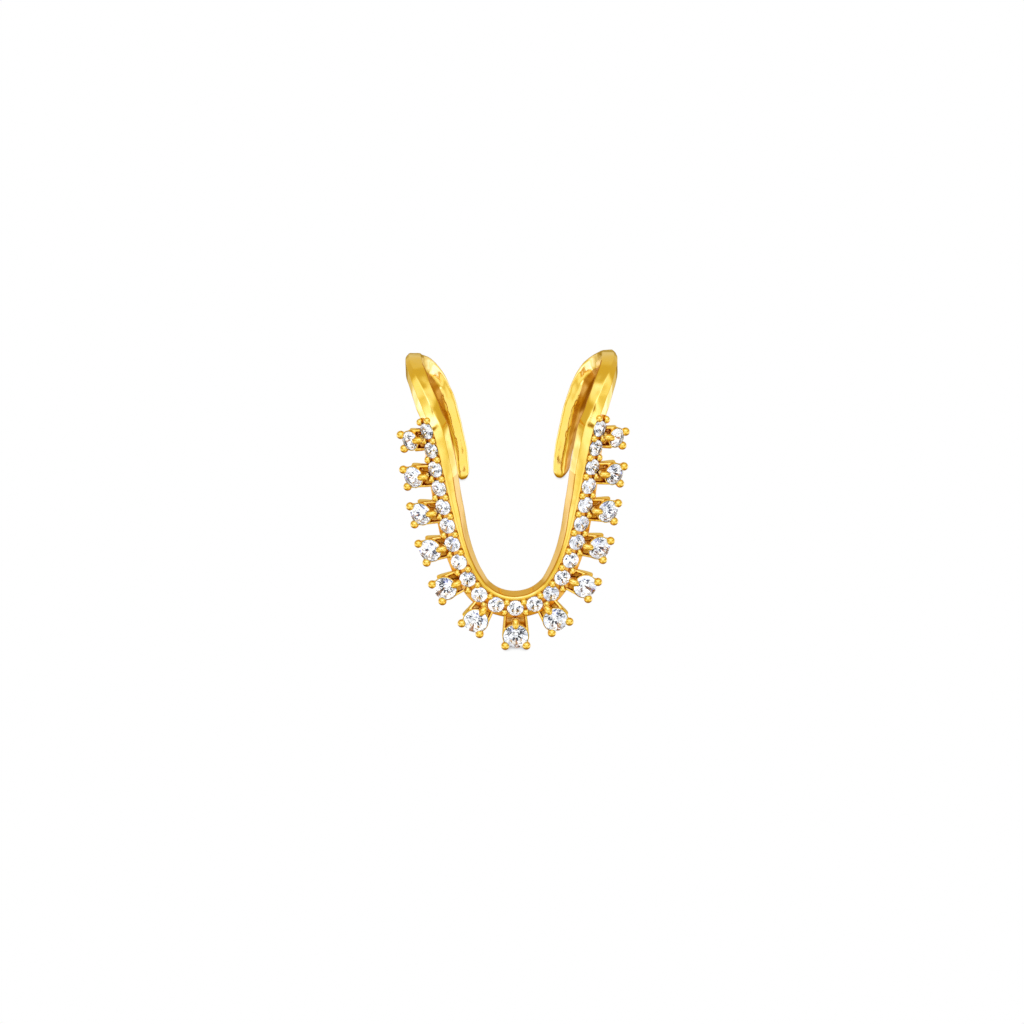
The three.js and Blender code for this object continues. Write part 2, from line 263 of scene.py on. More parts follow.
@dataclass
class BandLine:
    """The band's line on the unrolled layout, from the left tail's end round the front to the right's."""

    stations: tuple[Station, ...] = BAND_STATIONS
    divisions: int = 6400
    look_ahead: float = 0.02

    def __post_init__(self) -> None:
        """Runs a smooth curve through the stations and measures it."""
        left = [(-s.round, s) for s in reversed(self.stations[1:])]
        whole = left + [(s.round, s) for s in self.stations]
        self.knots = np.array([[place, s.rise] for place, s in whole])
        self.sizes = {name: np.array([getattr(s, name) for _, s in whole]) for name in SECTION_SIZES}
        self.share = np.linspace(0, len(self.knots) - 1, self.divisions + 1)
        self.points = self._curve(self.share)
        step = np.hypot(*np.diff(self.points, axis=0).T)
        self.length = float(step.sum())
        self.distance = np.concatenate([[0], np.cumsum(step)]) - self.length / 2

    def _curve(self, share: np.ndarray) -> np.ndarray:
        """The centripetal Catmull-Rom curve through the knots.

        Args:
            share: Knot numbers with their fractions.

        Returns:
            The curve's points there, one row each.
        """
        p = self.knots
        padded = np.vstack([2 * p[0] - p[1], p, 2 * p[-1] - p[-2]])
        i = np.minimum(np.floor(share).astype(int), len(p) - 2)
        t = (share - i)[:, None]
        p0, p1, p2, p3 = (padded[i + k] for k in range(4))
        gap = [np.sqrt(np.hypot(*(b - a).T))[:, None] for a, b in ((p0, p1), (p1, p2), (p2, p3))]
        t1 = ((p1 - p0) / gap[0] - (p2 - p0) / (gap[0] + gap[1]) + (p2 - p1) / gap[1]) * gap[1]
        t2 = ((p2 - p1) / gap[1] - (p3 - p1) / (gap[1] + gap[2]) + (p3 - p2) / gap[2]) * gap[1]
        c2 = -3 * p1 + 3 * p2 - 2 * t1 - t2
        c3 = 2 * p1 - 2 * p2 + t1 + t2
        return p1 + t1 * t + c2 * t * t + c3 * t * t * t

    def point(self, distance: float) -> np.ndarray:
        """The layout point this far from the front's middle."""
        return np.array([np.interp(distance, self.distance, self.points[:, k]) for k in (0, 1)])

    def at(self, distance: float) -> tuple[np.ndarray, np.ndarray, np.ndarray]:
        """The band's line at one place.

        Args:
            distance: Distance from the front's middle, positive to the right.

        Returns:
            The point, the direction along, and the direction of the side towards the outer edge.
        """
        ahead = self.point(min(distance + self.look_ahead, self.length / 2))
        behind = self.point(max(distance - self.look_ahead, -self.length / 2))
        along = (ahead - behind) / np.linalg.norm(ahead - behind)
        return self.point(distance), along, np.array([along[1], -along[0]])

    def size(self, name: str, distance: float) -> float:
        """A size of the section, eased between the stations.

        Args:
            name: The size's name in Station.
            distance: Distance from the front's middle.

        Returns:
            The size there, in millimetres.
        """
        place = float(np.interp(distance, self.distance, self.share))
        i = min(int(place), len(self.knots) - 2)
        values = self.sizes[name]
        return float(values[i] + (values[i + 1] - values[i]) * ease(place - i, 0, 1))


@dataclass
class Layout:
    """Where every seat is, and how the ring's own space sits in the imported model's frame."""

    hoop: Hoop = field(default_factory=Hoop)
    line: BandLine = field(default_factory=BandLine)
    lean_degrees: float = 26.65
    row_side: int = 11
    row_pitch: float = 1.82
    row_diameter: float = 1.5
    row_sink: float = 0.14
    row_proud: float = 0.07
    axis_turn: float = 0.85

    def __post_init__(self) -> None:
        """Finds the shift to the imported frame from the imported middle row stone."""
        self.lean = Matrix.Rotation(-math.radians(self.lean_degrees), 4, "X")
        low, high = (Vector(corner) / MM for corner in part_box("row_stone_center"))
        seat = self.row_seat(0)
        rim = Brilliant.plain_outline(seat.diameter)
        turned = [self.lean @ (seat.frame() @ Vector(p)) for p in rim]
        mine = [sum(f(p[k] for p in turned) for f in (min, max)) / 2 for k in range(3)]
        self.shift = (low + high) / 2 - Vector(mine)

    def to_frame(self) -> Matrix:
        """The matrix from the ring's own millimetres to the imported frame's metres."""
        return Matrix.Scale(MM, 4) @ Matrix.Translation(self.shift) @ self.lean

    def stone_axis(self, round_: float) -> tuple[Vector, Vector]:
        """How a stone stands; its axis turns a little less than the band's face does.

        Args:
            round_: Distance round the finger.

        Returns:
            The stone's axis, and the level direction round the finger, square to it.
        """
        out = self.hoop.outward(round_)
        turn = math.atan2(out.x, -out.y) * self.axis_turn
        axis = Vector((math.sin(turn), -math.cos(turn), 0))
        return axis, Vector((math.cos(turn), math.sin(turn), 0))

    def spot(self, point: np.ndarray, out: float) -> Vector:
        """One layout point wrapped round the finger."""
        return Vector(self.hoop.wrap(np.array([[point[0], point[1], out]]))[0])

    def row_seat(self, number: int) -> Seat:
        """The seat of a row stone.

        Args:
            number: The stone's number from the middle, positive to the right.

        Returns:
            The seat, its girdle a little above the channel's floor.
        """
        distance = number * self.row_pitch
        point, along, _ = self.line.at(distance)
        axis, round_ = self.stone_axis(point[0])
        forward = round_ * along[0] + Vector((0, 0, along[1]))
        out = self.line.size("face", distance) - self.row_sink + self.row_proud
        name = self.name("row_stone", number)
        return Seat(name, self.spot(point, out), axis, forward, self.row_diameter)

    def row_seats(self) -> list[Seat]:
        """The seats of the whole row, from left to right."""
        return [self.row_seat(i) for i in range(-self.row_side, self.row_side + 1)]

    def fringe_seat(self, number: int) -> Seat:
        """The seat of a fringe stone.

        Args:
            number: The stone's number from the middle, positive to the right.

        Returns:
            The seat, standing out from the row.
        """
        place = FRINGE_PLACES[abs(number)]
        way = Way.LEFT if number < 0 else Way.RIGHT
        point, _, side = self.line.at(place.along * self.row_pitch * way.value)
        axis, round_ = self.stone_axis(point[0])
        forward = (round_ * side[0] + Vector((0, 0, side[1]))).normalized()
        centre = self.spot(point, 0) + axis * place.lift + forward * place.reach
        name = self.name("fringe_stone", number)
        return Seat(name, centre, axis, forward, place.diameter, place, way)

    def fringe_seats(self) -> list[Seat]:
        """The seats of all fringe stones, from left to right."""
        last = len(FRINGE_PLACES) - 1
        return [self.fringe_seat(i) for i in range(-last, last + 1)]

    @staticmethod
    def name(kind: str, number: int) -> str:
        """A stone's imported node.

        Args:
            kind: The row's or the fringe's node name without its end.
            number: The stone's number from the middle, positive to the right.

        Returns:
            The node's name.
        """
        if number == 0:
            return f"{kind}_center"
        return f"{kind}_{Way(-1 if number < 0 else 1).name.lower()}_{abs(number)}"


# --- Bench: making and joining meshes -------------------------------------------------------------
class Bench:
    """Mesh work in the ring's own millimetres."""

    @staticmethod
    def thing(name: str, data: bpy.types.Mesh) -> bpy.types.Object:
        """An object for a mesh.

        Args:
            name: The object's name.
            data: Its mesh.

        Returns:
            The object, linked to the scene.
        """
        made = bpy.data.objects.new(name, data)
        bpy.context.scene.collection.objects.link(made)
        return made

    @staticmethod
    def discard(thing: bpy.types.Object) -> None:
        """Throws an object away with its mesh.

        Args:
            thing: The object.
        """
        data = thing.data
        bpy.data.objects.remove(thing)
        bpy.data.meshes.remove(data)

    @staticmethod
    def mesh(name: str, points: np.ndarray, faces: list[tuple[int, ...]]) -> bpy.types.Object:
        """An object from points and faces.

        Args:
            name: The name of the object and its mesh.
            points: The points, one row each.
            faces: Each face as the numbers of its points.

        Returns:
            The object, linked to the scene.
        """
        data = bpy.data.meshes.new(name)
        data.from_pydata([tuple(map(float, p)) for p in points], [], faces)
        data.validate()
        return Bench.thing(name, data)

    @staticmethod
    def angles(sides: int) -> np.ndarray:
        """Angles evenly round a full turn."""
        return np.linspace(0, 2 * np.pi, sides, endpoint=False)

    @staticmethod
    def ring(radius: float | np.ndarray, height: float, turn: np.ndarray) -> np.ndarray:
        """A level ring of points at these angles, one row each."""
        return np.column_stack([radius * np.cos(turn), radius * np.sin(turn), np.full(len(turn), height)])

    @staticmethod
    def rounded_square(sides: int, powers: Pair) -> tuple[np.ndarray, np.ndarray]:
        """Points round a square from -1 to 1 with rounded corners.

        Args:
            sides: How many points.
            powers: How round it is across and up, from near 0, square, to 1, round.

        Returns:
            The points' places across, and their places up.
        """
        turn = Bench.angles(sides)
        waves = (np.cos(turn), np.sin(turn))
        across, up = (np.sign(v) * np.abs(v) ** power for v, power in zip(waves, powers))
        return across, up

    @staticmethod
    def tube(name: str, rings: list[np.ndarray]) -> bpy.types.Object:
        """A closed skin over rings of points, with a single point at each end.

        Args:
            name: The object's name.
            rings: Rings with the same number of points each, in order along the skin.

        Returns:
            The object, with its faces turned outwards.
        """
        count = len(rings[0])
        points = np.vstack([*rings, rings[0].mean(axis=0), rings[-1].mean(axis=0)])
        after = [(i + 1) % count for i in range(count)]
        faces: list[tuple[int, ...]] = []
        for k in range(len(rings) - 1):
            here, there = k * count, (k + 1) * count
            faces += [(here + i, here + j, there + j, there + i) for i, j in enumerate(after)]
        first, last = len(points) - 2, len(points) - 1
        top = (len(rings) - 1) * count
        for i, j in enumerate(after):
            faces += [(first, j, i), (last, top + i, top + j)]
        thing = Bench.mesh(name, points, faces)
        Bench.face_outwards(thing)
        return thing

    @staticmethod
    def spin(name: str, profile: list[Pair], sides: int) -> bpy.types.Object:
        """A closed shape of revolution about +Z.

        Args:
            name: The object's name.
            profile: Radius and height of each ring, with the first and last point on the axis.
            sides: How many sides each ring has.

        Returns:
            The object, with its faces turned outwards.
        """
        turn = Bench.angles(sides)
        thing = Bench.tube(name, [Bench.ring(r, z, turn) for r, z in profile[1:-1]])
        thing.data.vertices[-2].co = (0, 0, profile[0][1])
        thing.data.vertices[-1].co = (0, 0, profile[-1][1])
        Bench.face_outwards(thing)
        return thing

    @staticmethod
    def face_outwards(thing: bpy.types.Object) -> None:
        """Turns all faces outwards.

        Args:
            thing: The object with the faces.
        """
        work = bmesh.new()
        work.from_mesh(thing.data)
        bmesh.ops.recalc_face_normals(work, faces=work.faces)
        if work.calc_volume(signed=True) < 0:
            bmesh.ops.reverse_faces(work, faces=work.faces)
        work.to_mesh(thing.data)
        work.free()

    @staticmethod
    def place(thing: bpy.types.Object, matrix: Matrix) -> bpy.types.Object:
        """Moves an object's mesh, leaving the object itself at the origin."""
        thing.data.transform(matrix)
        return thing

    @staticmethod
    def join(name: str, things: list[bpy.types.Object]) -> bpy.types.Object:
        """Gathers several objects' meshes into one, without merging their skins.

        Args:
            name: The new object's name.
            things: The objects, which are thrown away.

        Returns:
            The new object.
        """
        work = bmesh.new()
        for thing in things:
            work.from_mesh(thing.data)
            Bench.discard(thing)
        data = bpy.data.meshes.new(name)
        work.to_mesh(data)
        work.free()
        return Bench.thing(name, data)

    @staticmethod
    def bake_modifiers(thing: bpy.types.Object) -> None:
        """Turns an object's modifiers into plain mesh.

        Args:
            thing: The object with the modifiers.
        """
        bpy.context.view_layer.update()
        shaped = thing.evaluated_get(bpy.context.evaluated_depsgraph_get())
        made = bpy.data.meshes.new_from_object(shaped)
        old = thing.data
        thing.modifiers.clear()
        made.name = thing.name
        thing.data = made
        bpy.data.meshes.remove(old)

    @staticmethod
    def carve(thing: bpy.types.Object, cutter: bpy.types.Object) -> None:
        """Cuts one closed shape out of another.

        Args:
            thing: The object that is cut.
            cutter: The shape that is taken away, and thrown away afterwards.
        """
        cut = thing.modifiers.new("carve", "BOOLEAN")
        cut.operation = "DIFFERENCE"
        cut.solver = "MANIFOLD"
        cut.object = cutter
        Bench.bake_modifiers(thing)
        Bench.discard(cutter)

    @staticmethod
    def melt(thing: bpy.types.Object, grain: float, passes: int, pull: float = 0.5) -> None:
        """Melts overlapping shapes into one casting with soft inside corners.

        Args:
            thing: The object whose closed shells overlap.
            grain: Size of the cells the casting is rebuilt from, in millimetres.
            passes: How many times its surface is smoothed afterwards.
            pull: How far each pass draws a point towards its neighbours' middle.
        """
        remesh = thing.modifiers.new("melt", "REMESH")
        remesh.mode = "VOXEL"
        remesh.voxel_size = grain
        remesh.use_smooth_shade = True
        smooth = thing.modifiers.new("settle", "SMOOTH")
        smooth.factor = pull
        smooth.iterations = passes
        Bench.bake_modifiers(thing)

    @staticmethod
    def shade(thing: bpy.types.Object, crease: float) -> None:
        """Shades an object smoothly and keeps its sharp edges crisp.

        Args:
            thing: The object.
            crease: The angle in degrees from which an edge counts as sharp.
        """
        work = bmesh.new()
        work.from_mesh(thing.data)
        limit = math.radians(crease)
        for face in work.faces:
            face.smooth = True
        for edge in work.edges:
            edge.smooth = len(edge.link_faces) == 2 and edge.calc_face_angle(0) < limit
        work.to_mesh(thing.data)
        work.free()

    @staticmethod
    def finish(
        thing: bpy.types.Object,
        layout: Layout,
        slot: str,
        materials: list[bpy.types.Material],
        nodes: tuple[str, ...] = (),
    ) -> None:
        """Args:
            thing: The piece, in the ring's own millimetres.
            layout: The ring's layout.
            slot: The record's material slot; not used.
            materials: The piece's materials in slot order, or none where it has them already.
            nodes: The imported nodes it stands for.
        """
        Bench.place(thing, layout.to_frame())
        slots = thing.data.materials
        for number, material in enumerate(materials):
            if number < len(slots):
                slots[number] = material
            else:
                slots.append(material)
        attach(thing, BODY)
        if nodes:
            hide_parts(*nodes)
        faces = len(thing.data.polygons)
        LOG.info("%s: %d faces, stands for %s", thing.name, faces, ", ".join(nodes) or "nothing")


# --- Shader groups --------------------------------------------------------------------------------
class Effect(Enum):
    """The shader groups that several finishes share."""

    HAND_POLISH = "hand_polish"
    GOLD_TONE = "gold_tone"
    FACET_LIFE = "facet_life"


class Wiring:
    """A node tree with a short way to add nodes and links."""

    def __init__(self, tree: bpy.types.NodeTree) -> None:
        """Starts on an existing tree."""
        self.tree = tree

    def set(self, socket: bpy.types.NodeSocket, value: object) -> None:
        """Gives an input a plain value, or joins another node's output to it.

        Args:
            socket: The input.
            value: The value or the output.
        """
        if isinstance(value, bpy.types.NodeSocket):
            self.tree.links.new(value, socket)
        else:
            socket.default_value = value

    def feed(self, node: bpy.types.Node, **inputs: object) -> None:
        """Gives a node's inputs their values.

        Args:
            node: The node.
            **inputs: Values or outputs, named with underscores for spaces, or i0, i1 by number.
        """
        for name, value in inputs.items():
            numbered = name[0] == "i" and name[1:].isdigit()
            self.set(node.inputs[int(name[1:]) if numbered else name.replace("_", " ")], value)

    def add(self, kind: str, settings: dict[str, object] | None = None, **inputs: object) -> bpy.types.Node:
        """Adds a node.

        Args:
            kind: The node's type name.
            settings: Properties of the node itself.
            **inputs: What its inputs are given, as in feed.

        Returns:
            The node.
        """
        node = self.tree.nodes.new(kind)
        for name, value in (settings or {}).items():
            setattr(node, name, value)
        self.feed(node, **inputs)
        return node

    def effect(self, effect: Effect, **inputs: object) -> bpy.types.Node:
        """Places a shared group with this material's own values."""
        return self.add("ShaderNodeGroup", {"node_tree": Effects.group(effect)}, **inputs)

    def math(self, operation: str, *values: object) -> bpy.types.NodeSocket:
        """The result of a maths node."""
        inputs = {f"i{k}": value for k, value in enumerate(values)}
        return self.add("ShaderNodeMath", {"operation": operation}, **inputs).outputs[0]

    def vector(self, operation: str, **inputs: object) -> bpy.types.NodeSocket:
        """The vector result of a vector maths node."""
        return self.add("ShaderNodeVectorMath", {"operation": operation}, **inputs).outputs[0]

    def cloud(self, place: bpy.types.NodeSocket, **inputs: object) -> bpy.types.NodeSocket:
        """The value of a soft noise at a place."""
        return self.add("ShaderNodeTexNoise", Vector=place, **inputs).outputs[0]

    def mix(self, share: object, low: object, high: object) -> bpy.types.NodeSocket:
        """A mix of two colours: low where share is 0, high where it is 1."""
        node = self.add("ShaderNodeMix", {"data_type": "RGBA"}, i0=share, i6=low, i7=high)
        return node.outputs[2]

    def spread(self, value: object, start: Pair, end: Pair) -> bpy.types.NodeSocket:
        """A value moved smoothly from one range to another.

        Args:
            value: The value.
            start: The range it comes from.
            end: The range it goes to.

        Returns:
            The moved value.
        """
        node = self.add(
            "ShaderNodeMapRange",
            {"interpolation_type": "SMOOTHSTEP"},
            Value=value,
            From_Min=start[0],
            From_Max=start[1],
            To_Min=end[0],
            To_Max=end[1],
        )
        return node.outputs[0]


class Effects:
    """Builds each shared shader group once.

    buffing is how closely the buffing lines lie along x, y and z. The pairs are the ranges that a tone is
    spread over: how hazy a place is and how pale that makes it, how closed a corner is for its painted
    shade, and how softly a facet's painted brightness turns from bright to dark.
    """

    least_roughness: float = 0.01
    buffing: tuple[float, float, float] = (9.0, 9.0, 1.2)
    haze: Pair = (0.35, 0.7)
    paleness: Pair = (0.0, 0.14)
    corner_shade_closeness: Pair = (0.25, 0.95)
    turning: Pair = (-0.08, 0.08)
    whole: Pair = (0.0, 1.0)

    @staticmethod
    def group(effect: Effect) -> bpy.types.NodeTree:
        """The group for an effect.

        Args:
            effect: The effect.

        Returns:
            The group, built the first time it is asked for.
        """
        made = bpy.data.node_groups.get(effect.value)
        if made:
            return made
        build = {
            Effect.HAND_POLISH: Effects._hand_polish,
            Effect.GOLD_TONE: Effects._gold_tone_and_shade,
            Effect.FACET_LIFE: Effects._facet_painted_light,
        }[effect]
        tree = bpy.data.node_groups.new(effect.value, "ShaderNodeTree")
        build(tree)
        return tree

    @staticmethod
    def _inputs(tree: bpy.types.NodeTree, values: dict[str, object]) -> dict[str, bpy.types.NodeSocket]:
        """Gives a group its named inputs.

        Args:
            tree: The group's tree.
            values: Each input's name and its usual value, a number or a colour.

        Returns:
            The sockets that bring the inputs into the group, by name.
        """
        for name, value in values.items():
            kind = "NodeSocketColor" if isinstance(value, tuple) else "NodeSocketFloat"
            tree.interface.new_socket(name, in_out="INPUT", socket_type=kind).default_value = value
        entry = tree.nodes.new("NodeGroupInput")
        return {name: entry.outputs[name] for name in values}

    @staticmethod
    def _outputs(tree: bpy.types.NodeTree, kind: str, **results: bpy.types.NodeSocket) -> None:
        """Gives a group its named outputs.

        Args:
            tree: The group's tree.
            kind: The outputs' socket type.
            **results: What each output is fed with.
        """
        for name in results:
            tree.interface.new_socket(name, in_out="OUTPUT", socket_type=kind)
        Wiring(tree).add("NodeGroupOutput", **results)

    @staticmethod
    def _in_mm(wiring: Wiring) -> bpy.types.NodeSocket:
        """The place on the ring in millimetres."""
        place = wiring.add("ShaderNodeTexCoord").outputs["Object"]
        return wiring.vector("SCALE", i0=place, Scale=1 / MM)

    @staticmethod
    def _hand_polish(tree: bpy.types.NodeTree) -> None:
        """Soft hammer waves, fine buffing lines and a roughness that varies a little from place to place.

        Args:
            tree: The group's tree.
        """
        wiring = Wiring(tree)
        usual = {"Roughness": 0.12, "Variation": 0.05, "Wave Size": 1.4, "Wave": 1.0, "Buffing": 0.1}
        ins = Effects._inputs(tree, usual)
        place = Effects._in_mm(wiring)
        scale = wiring.math("DIVIDE", 1.0, ins["Wave Size"])
        waves = wiring.cloud(place, Scale=scale, Detail=1.0, Roughness=0.4)
        stretched = wiring.vector("MULTIPLY", i0=place, i1=Effects.buffing)
        lines = wiring.cloud(stretched, Scale=1.0, Detail=3.0)
        haze = wiring.cloud(place, Scale=0.8, Detail=2.0)
        shift = wiring.math("MULTIPLY", wiring.math("SUBTRACT", haze, 0.5), ins["Variation"])
        rough = wiring.math("ADD", ins["Roughness"], wiring.math("MULTIPLY", shift, 2.0))
        wave = wiring.math("MULTIPLY", waves, ins["Wave"])
        fine = wiring.math("MULTIPLY", lines, ins["Buffing"])
        rough = wiring.math("MAXIMUM", rough, Effects.least_roughness)
        Effects._outputs(tree, "NodeSocketFloat", Roughness=rough, Height=wiring.math("ADD", wave, fine))

    @staticmethod
    def _gold_tone_and_shade(tree: bpy.types.NodeTree) -> None:
        """A gold that is a touch paler in places at random, with painted shade that darkens its closed
        corners.

        Args:
            tree: The group's tree.
        """
        wiring = Wiring(tree)
        usual = {
            "Gold": (0.95, 0.60, 0.11, 1.0),
            "Deep": (0.42, 0.12, 0.004, 1.0),
            "Pale": (1.0, 0.8, 0.35, 1.0),
            "Depth": 0.5,
            "Reach": 0.6,
        }
        ins = Effects._inputs(tree, usual)
        haze = wiring.cloud(Effects._in_mm(wiring), Scale=0.6, Detail=1.5)
        base = wiring.mix(wiring.spread(haze, Effects.haze, Effects.paleness), ins["Gold"], ins["Pale"])
        # Painted shade: ambient occlusion darkens closed corners towards the shade colour.
        reach = wiring.math("MULTIPLY", ins["Reach"], MM)
        settings = {"samples": 12, "only_local": False}
        shade = wiring.add("ShaderNodeAmbientOcclusion", settings, Distance=reach)
        closed = wiring.math("SUBTRACT", 1.0, shade.outputs["AO"])
        corner = wiring.spread(closed, Effects.corner_shade_closeness, Effects.whole)
        corner = wiring.math("MULTIPLY", corner, ins["Depth"])
        Effects._outputs(tree, "NodeSocketColor", Color=wiring.mix(corner, base, ins["Deep"]))

    @staticmethod
    def _facet_painted_light(tree: bpy.types.NodeTree) -> None:
        """A painted brightness that jumps from facet to facet, standing in for the light that a cut stone
        returns.

        Args:
            tree: The group's tree.
        """
        wiring = Wiring(tree)
        usual = {
            "Bright": (0.95, 0.96, 0.98, 1.0),
            "Dark": (0.12, 0.14, 0.18, 1.0),
            "Share": 0.35,
            "Grain": 9.0,
        }
        ins = Effects._inputs(tree, usual)
        normal = wiring.add("ShaderNodeNewGeometry").outputs["True Normal"]
        whole = wiring.vector("FLOOR", i0=wiring.vector("SCALE", i0=normal, Scale=ins["Grain"]))
        chance = wiring.add("ShaderNodeTexWhiteNoise", {"noise_dimensions": "3D"}, Vector=whole)
        edge = wiring.math("SUBTRACT", ins["Share"], chance.outputs["Value"])
        mask = wiring.spread(edge, Effects.turning, Effects.whole)
        Effects._outputs(tree, "NodeSocketColor", Color=wiring.mix(mask, ins["Bright"], ins["Dark"]))


# --- Finishes -------------------------------------------------------------------------------------
@dataclass(frozen=True)
class Finish:
    """A named finish, whose material is made once and then shared."""

    name: str

    def material(self) -> bpy.types.Material:
        """The Blender material of this finish.

        Returns:
            The material, made the first time it is asked for.
        """
        made = bpy.data.materials.get(self.name)
        if not made:
            made = bpy.data.materials.new(self.name)
            made.use_nodes = True
            self.wire(Wiring(made.node_tree), made.node_tree.nodes["Principled BSDF"])
        return made

    def wire(self, wiring: Wiring, shader: bpy.types.Node) -> None:
        """Feeds the material's shader; each kind of finish has its own way."""
        raise NotImplementedError


@dataclass(frozen=True)
class GoldFinish(Finish):
    """A polished yellow gold: its colours, its gloss and how its surface waves."""

    gold: Colour = (0.95, 0.60, 0.10, 1.0)
    # deep, depth and reach: the colour, strength and reach in millimetres of the painted shade in closed
    # corners.
    deep: Colour = (0.42, 0.12, 0.004, 1.0)
    pale: Colour = (1.0, 0.80, 0.30, 1.0)
    depth: float = 0.85
    reach: float = 0.7
    roughness: float = 0.12
    variation: float = 0.05
    wave_size: float = 1.4
    wave: float = 1.0
    buffing: float = 0.08
    bump: float = 0.25
    relief: float = 0.05
    lacquer: float = 0.3
    lacquer_roughness: float = 0.06

    def wire(self, wiring: Wiring, shader: bpy.types.Node) -> None:
        """Feeds the metal with the shared gold tone, its painted corner shade, and hand polish.

        Args:
            wiring: The material's wiring.
            shader: Its shader.
        """
        tone = wiring.effect(
            Effect.GOLD_TONE,
            Gold=self.gold,
            Deep=self.deep,
            Pale=self.pale,
            Depth=self.depth,
            Reach=self.reach,
        )
        polish = wiring.effect(
            Effect.HAND_POLISH,
            Roughness=self.roughness,
            Variation=self.variation,
            Wave_Size=self.wave_size,
            Wave=self.wave,
            Buffing=self.buffing,
        )
        height = polish.outputs["Height"]
        bump = wiring.add("ShaderNodeBump", Strength=self.bump, Distance=self.relief * MM, Height=height)
        wiring.feed(
            shader,
            Base_Color=tone.outputs["Color"],
            Metallic=1.0,
            Roughness=polish.outputs["Roughness"],
            Coat_Weight=self.lacquer,
            Coat_Roughness=self.lacquer_roughness,
            Normal=bump.outputs["Normal"],
        )


@dataclass(frozen=True)
class CrownFinish(Finish):
    """The clear upper part of a cut stone."""

    index: float = 1.6
    bright: Colour = (1.0, 1.0, 1.0, 1.0)
    dark: Colour = (0.93, 0.94, 0.96, 1.0)
    share: float = 0.3
    roughness: float = 0.0

    def wire(self, wiring: Wiring, shader: bpy.types.Node) -> None:
        """Makes a clear glass whose facets differ a little in painted brightness.

        Args:
            wiring: The material's wiring.
            shader: Its shader.
        """
        life = wiring.effect(Effect.FACET_LIFE, Bright=self.bright, Dark=self.dark, Share=self.share)
        wiring.feed(
            shader,
            Base_Color=life.outputs["Color"],
            Metallic=0.0,
            Roughness=self.roughness,
            IOR=self.index,
            Transmission_Weight=1.0,
        )


@dataclass(frozen=True)
class PavilionFinish(Finish):
    """The mirror that a cut stone's lower facets make."""

    bright: Colour = (0.96, 0.97, 0.98, 1.0)
    dark: Colour = (0.62, 0.64, 0.69, 1.0)
    share: float = 0.14
    roughness: float = 0.1

    def wire(self, wiring: Wiring, shader: bpy.types.Node) -> None:
        """Makes a mirror whose facets differ in painted brightness.

        Args:
            wiring: The material's wiring.
            shader: Its shader.
        """
        life = wiring.effect(Effect.FACET_LIFE, Bright=self.bright, Dark=self.dark, Share=self.share)
        wiring.feed(shader, Base_Color=life.outputs["Color"], Metallic=1.0, Roughness=self.roughness)


SHANK_GOLD = GoldFinish(
    "shank_gold",
    gold=(0.98, 0.67, 0.095, 1.0),
    reach=1.1,
    wave_size=1.6,
    wave=1.8,
    bump=0.8,
)
# Painted shade: a darker orange gold for the row's channel floor and its ledge wall.
CHANNEL_SHADE_GOLD = GoldFinish(
    "channel_gold",
    gold=(0.80, 0.38, 0.03, 1.0),
    depth=1.0,
    roughness=0.18,
    wave_size=0.6,
    wave=0.6,
)
# Painted shade: a darker orange gold for the inner wall of the front, below the arms.
WALL_SHADE_GOLD = GoldFinish(
    "wall_gold",
    gold=(0.85, 0.49, 0.05, 1.0),
    pale=(0.97, 0.68, 0.18, 1.0),
    roughness=0.16,
    wave_size=1.3,
    wave=1.8,
    bump=0.5,
    lacquer=0.08,
)
# Painted shade: a dark brown gold for the band's recesses, the tails' slopes and the settings' hollow
# floors.
PAINTED_SHADE_GOLD = GoldFinish(
    "recess_gold",
    gold=(0.66, 0.28, 0.012, 1.0),
    deep=(0.22, 0.06, 0.001, 1.0),
    depth=1.0,
    roughness=0.24,
    lacquer=0.0,
)
BEAD_GOLD = GoldFinish(
    "bead_gold",
    gold=(0.97, 0.65, 0.085, 1.0),
    depth=1.0,
    roughness=0.07,
    wave=0.0,
    lacquer=0.5,
)
CAST_GOLD = GoldFinish(
    "cast_gold",
    gold=(0.96, 0.61, 0.07, 1.0),
    depth=1.0,
    reach=0.8,
    roughness=0.09,
    wave_size=0.7,
    wave=0.4,
)
CROWN_CLEAR = CrownFinish("stone_crown")
PAVILION_MIRROR = PavilionFinish("stone_pavilion")
# Painted shade: the near-black mirror of the pavilion's dark arrows.
PAVILION_SHADE = PavilionFinish(
    "stone_arrows",
    bright=(0.05, 0.06, 0.09, 1.0),
    dark=(0.02, 0.025, 0.04, 1.0),
)


# --- Stones ---------------------------------------------------------------------------------------
@dataclass(frozen=True)
class CutSide:
    """The crown or the pavilion of one stone, by its heights above the girdle's middle.

    The facets rise from the girdle, radius wide and rim high, to a flat of its own radius at the top. A
    pavilion has no flat, and all of it is turned upside down.
    """

    radius: float
    rim: float
    flat: float
    top: float
    turn: float
    crown: bool

    def spot(
        self, work: bmesh.types.BMesh, radius: float, angle: float, height: float
    ) -> bmesh.types.BMVert:
        """A new corner of a facet.

        Args:
            work: The mesh it goes to.
            radius: Its distance from the stone's axis.
            angle: Its angle round the axis, before the stone's own turn.
            height: Its height, upwards for a crown and downwards for a pavilion.

        Returns:
            The corner.
        """
        turned, sign = angle + self.turn, 1 if self.crown else -1
        return work.verts.new((radius * math.cos(turned), radius * math.sin(turned), sign * height))


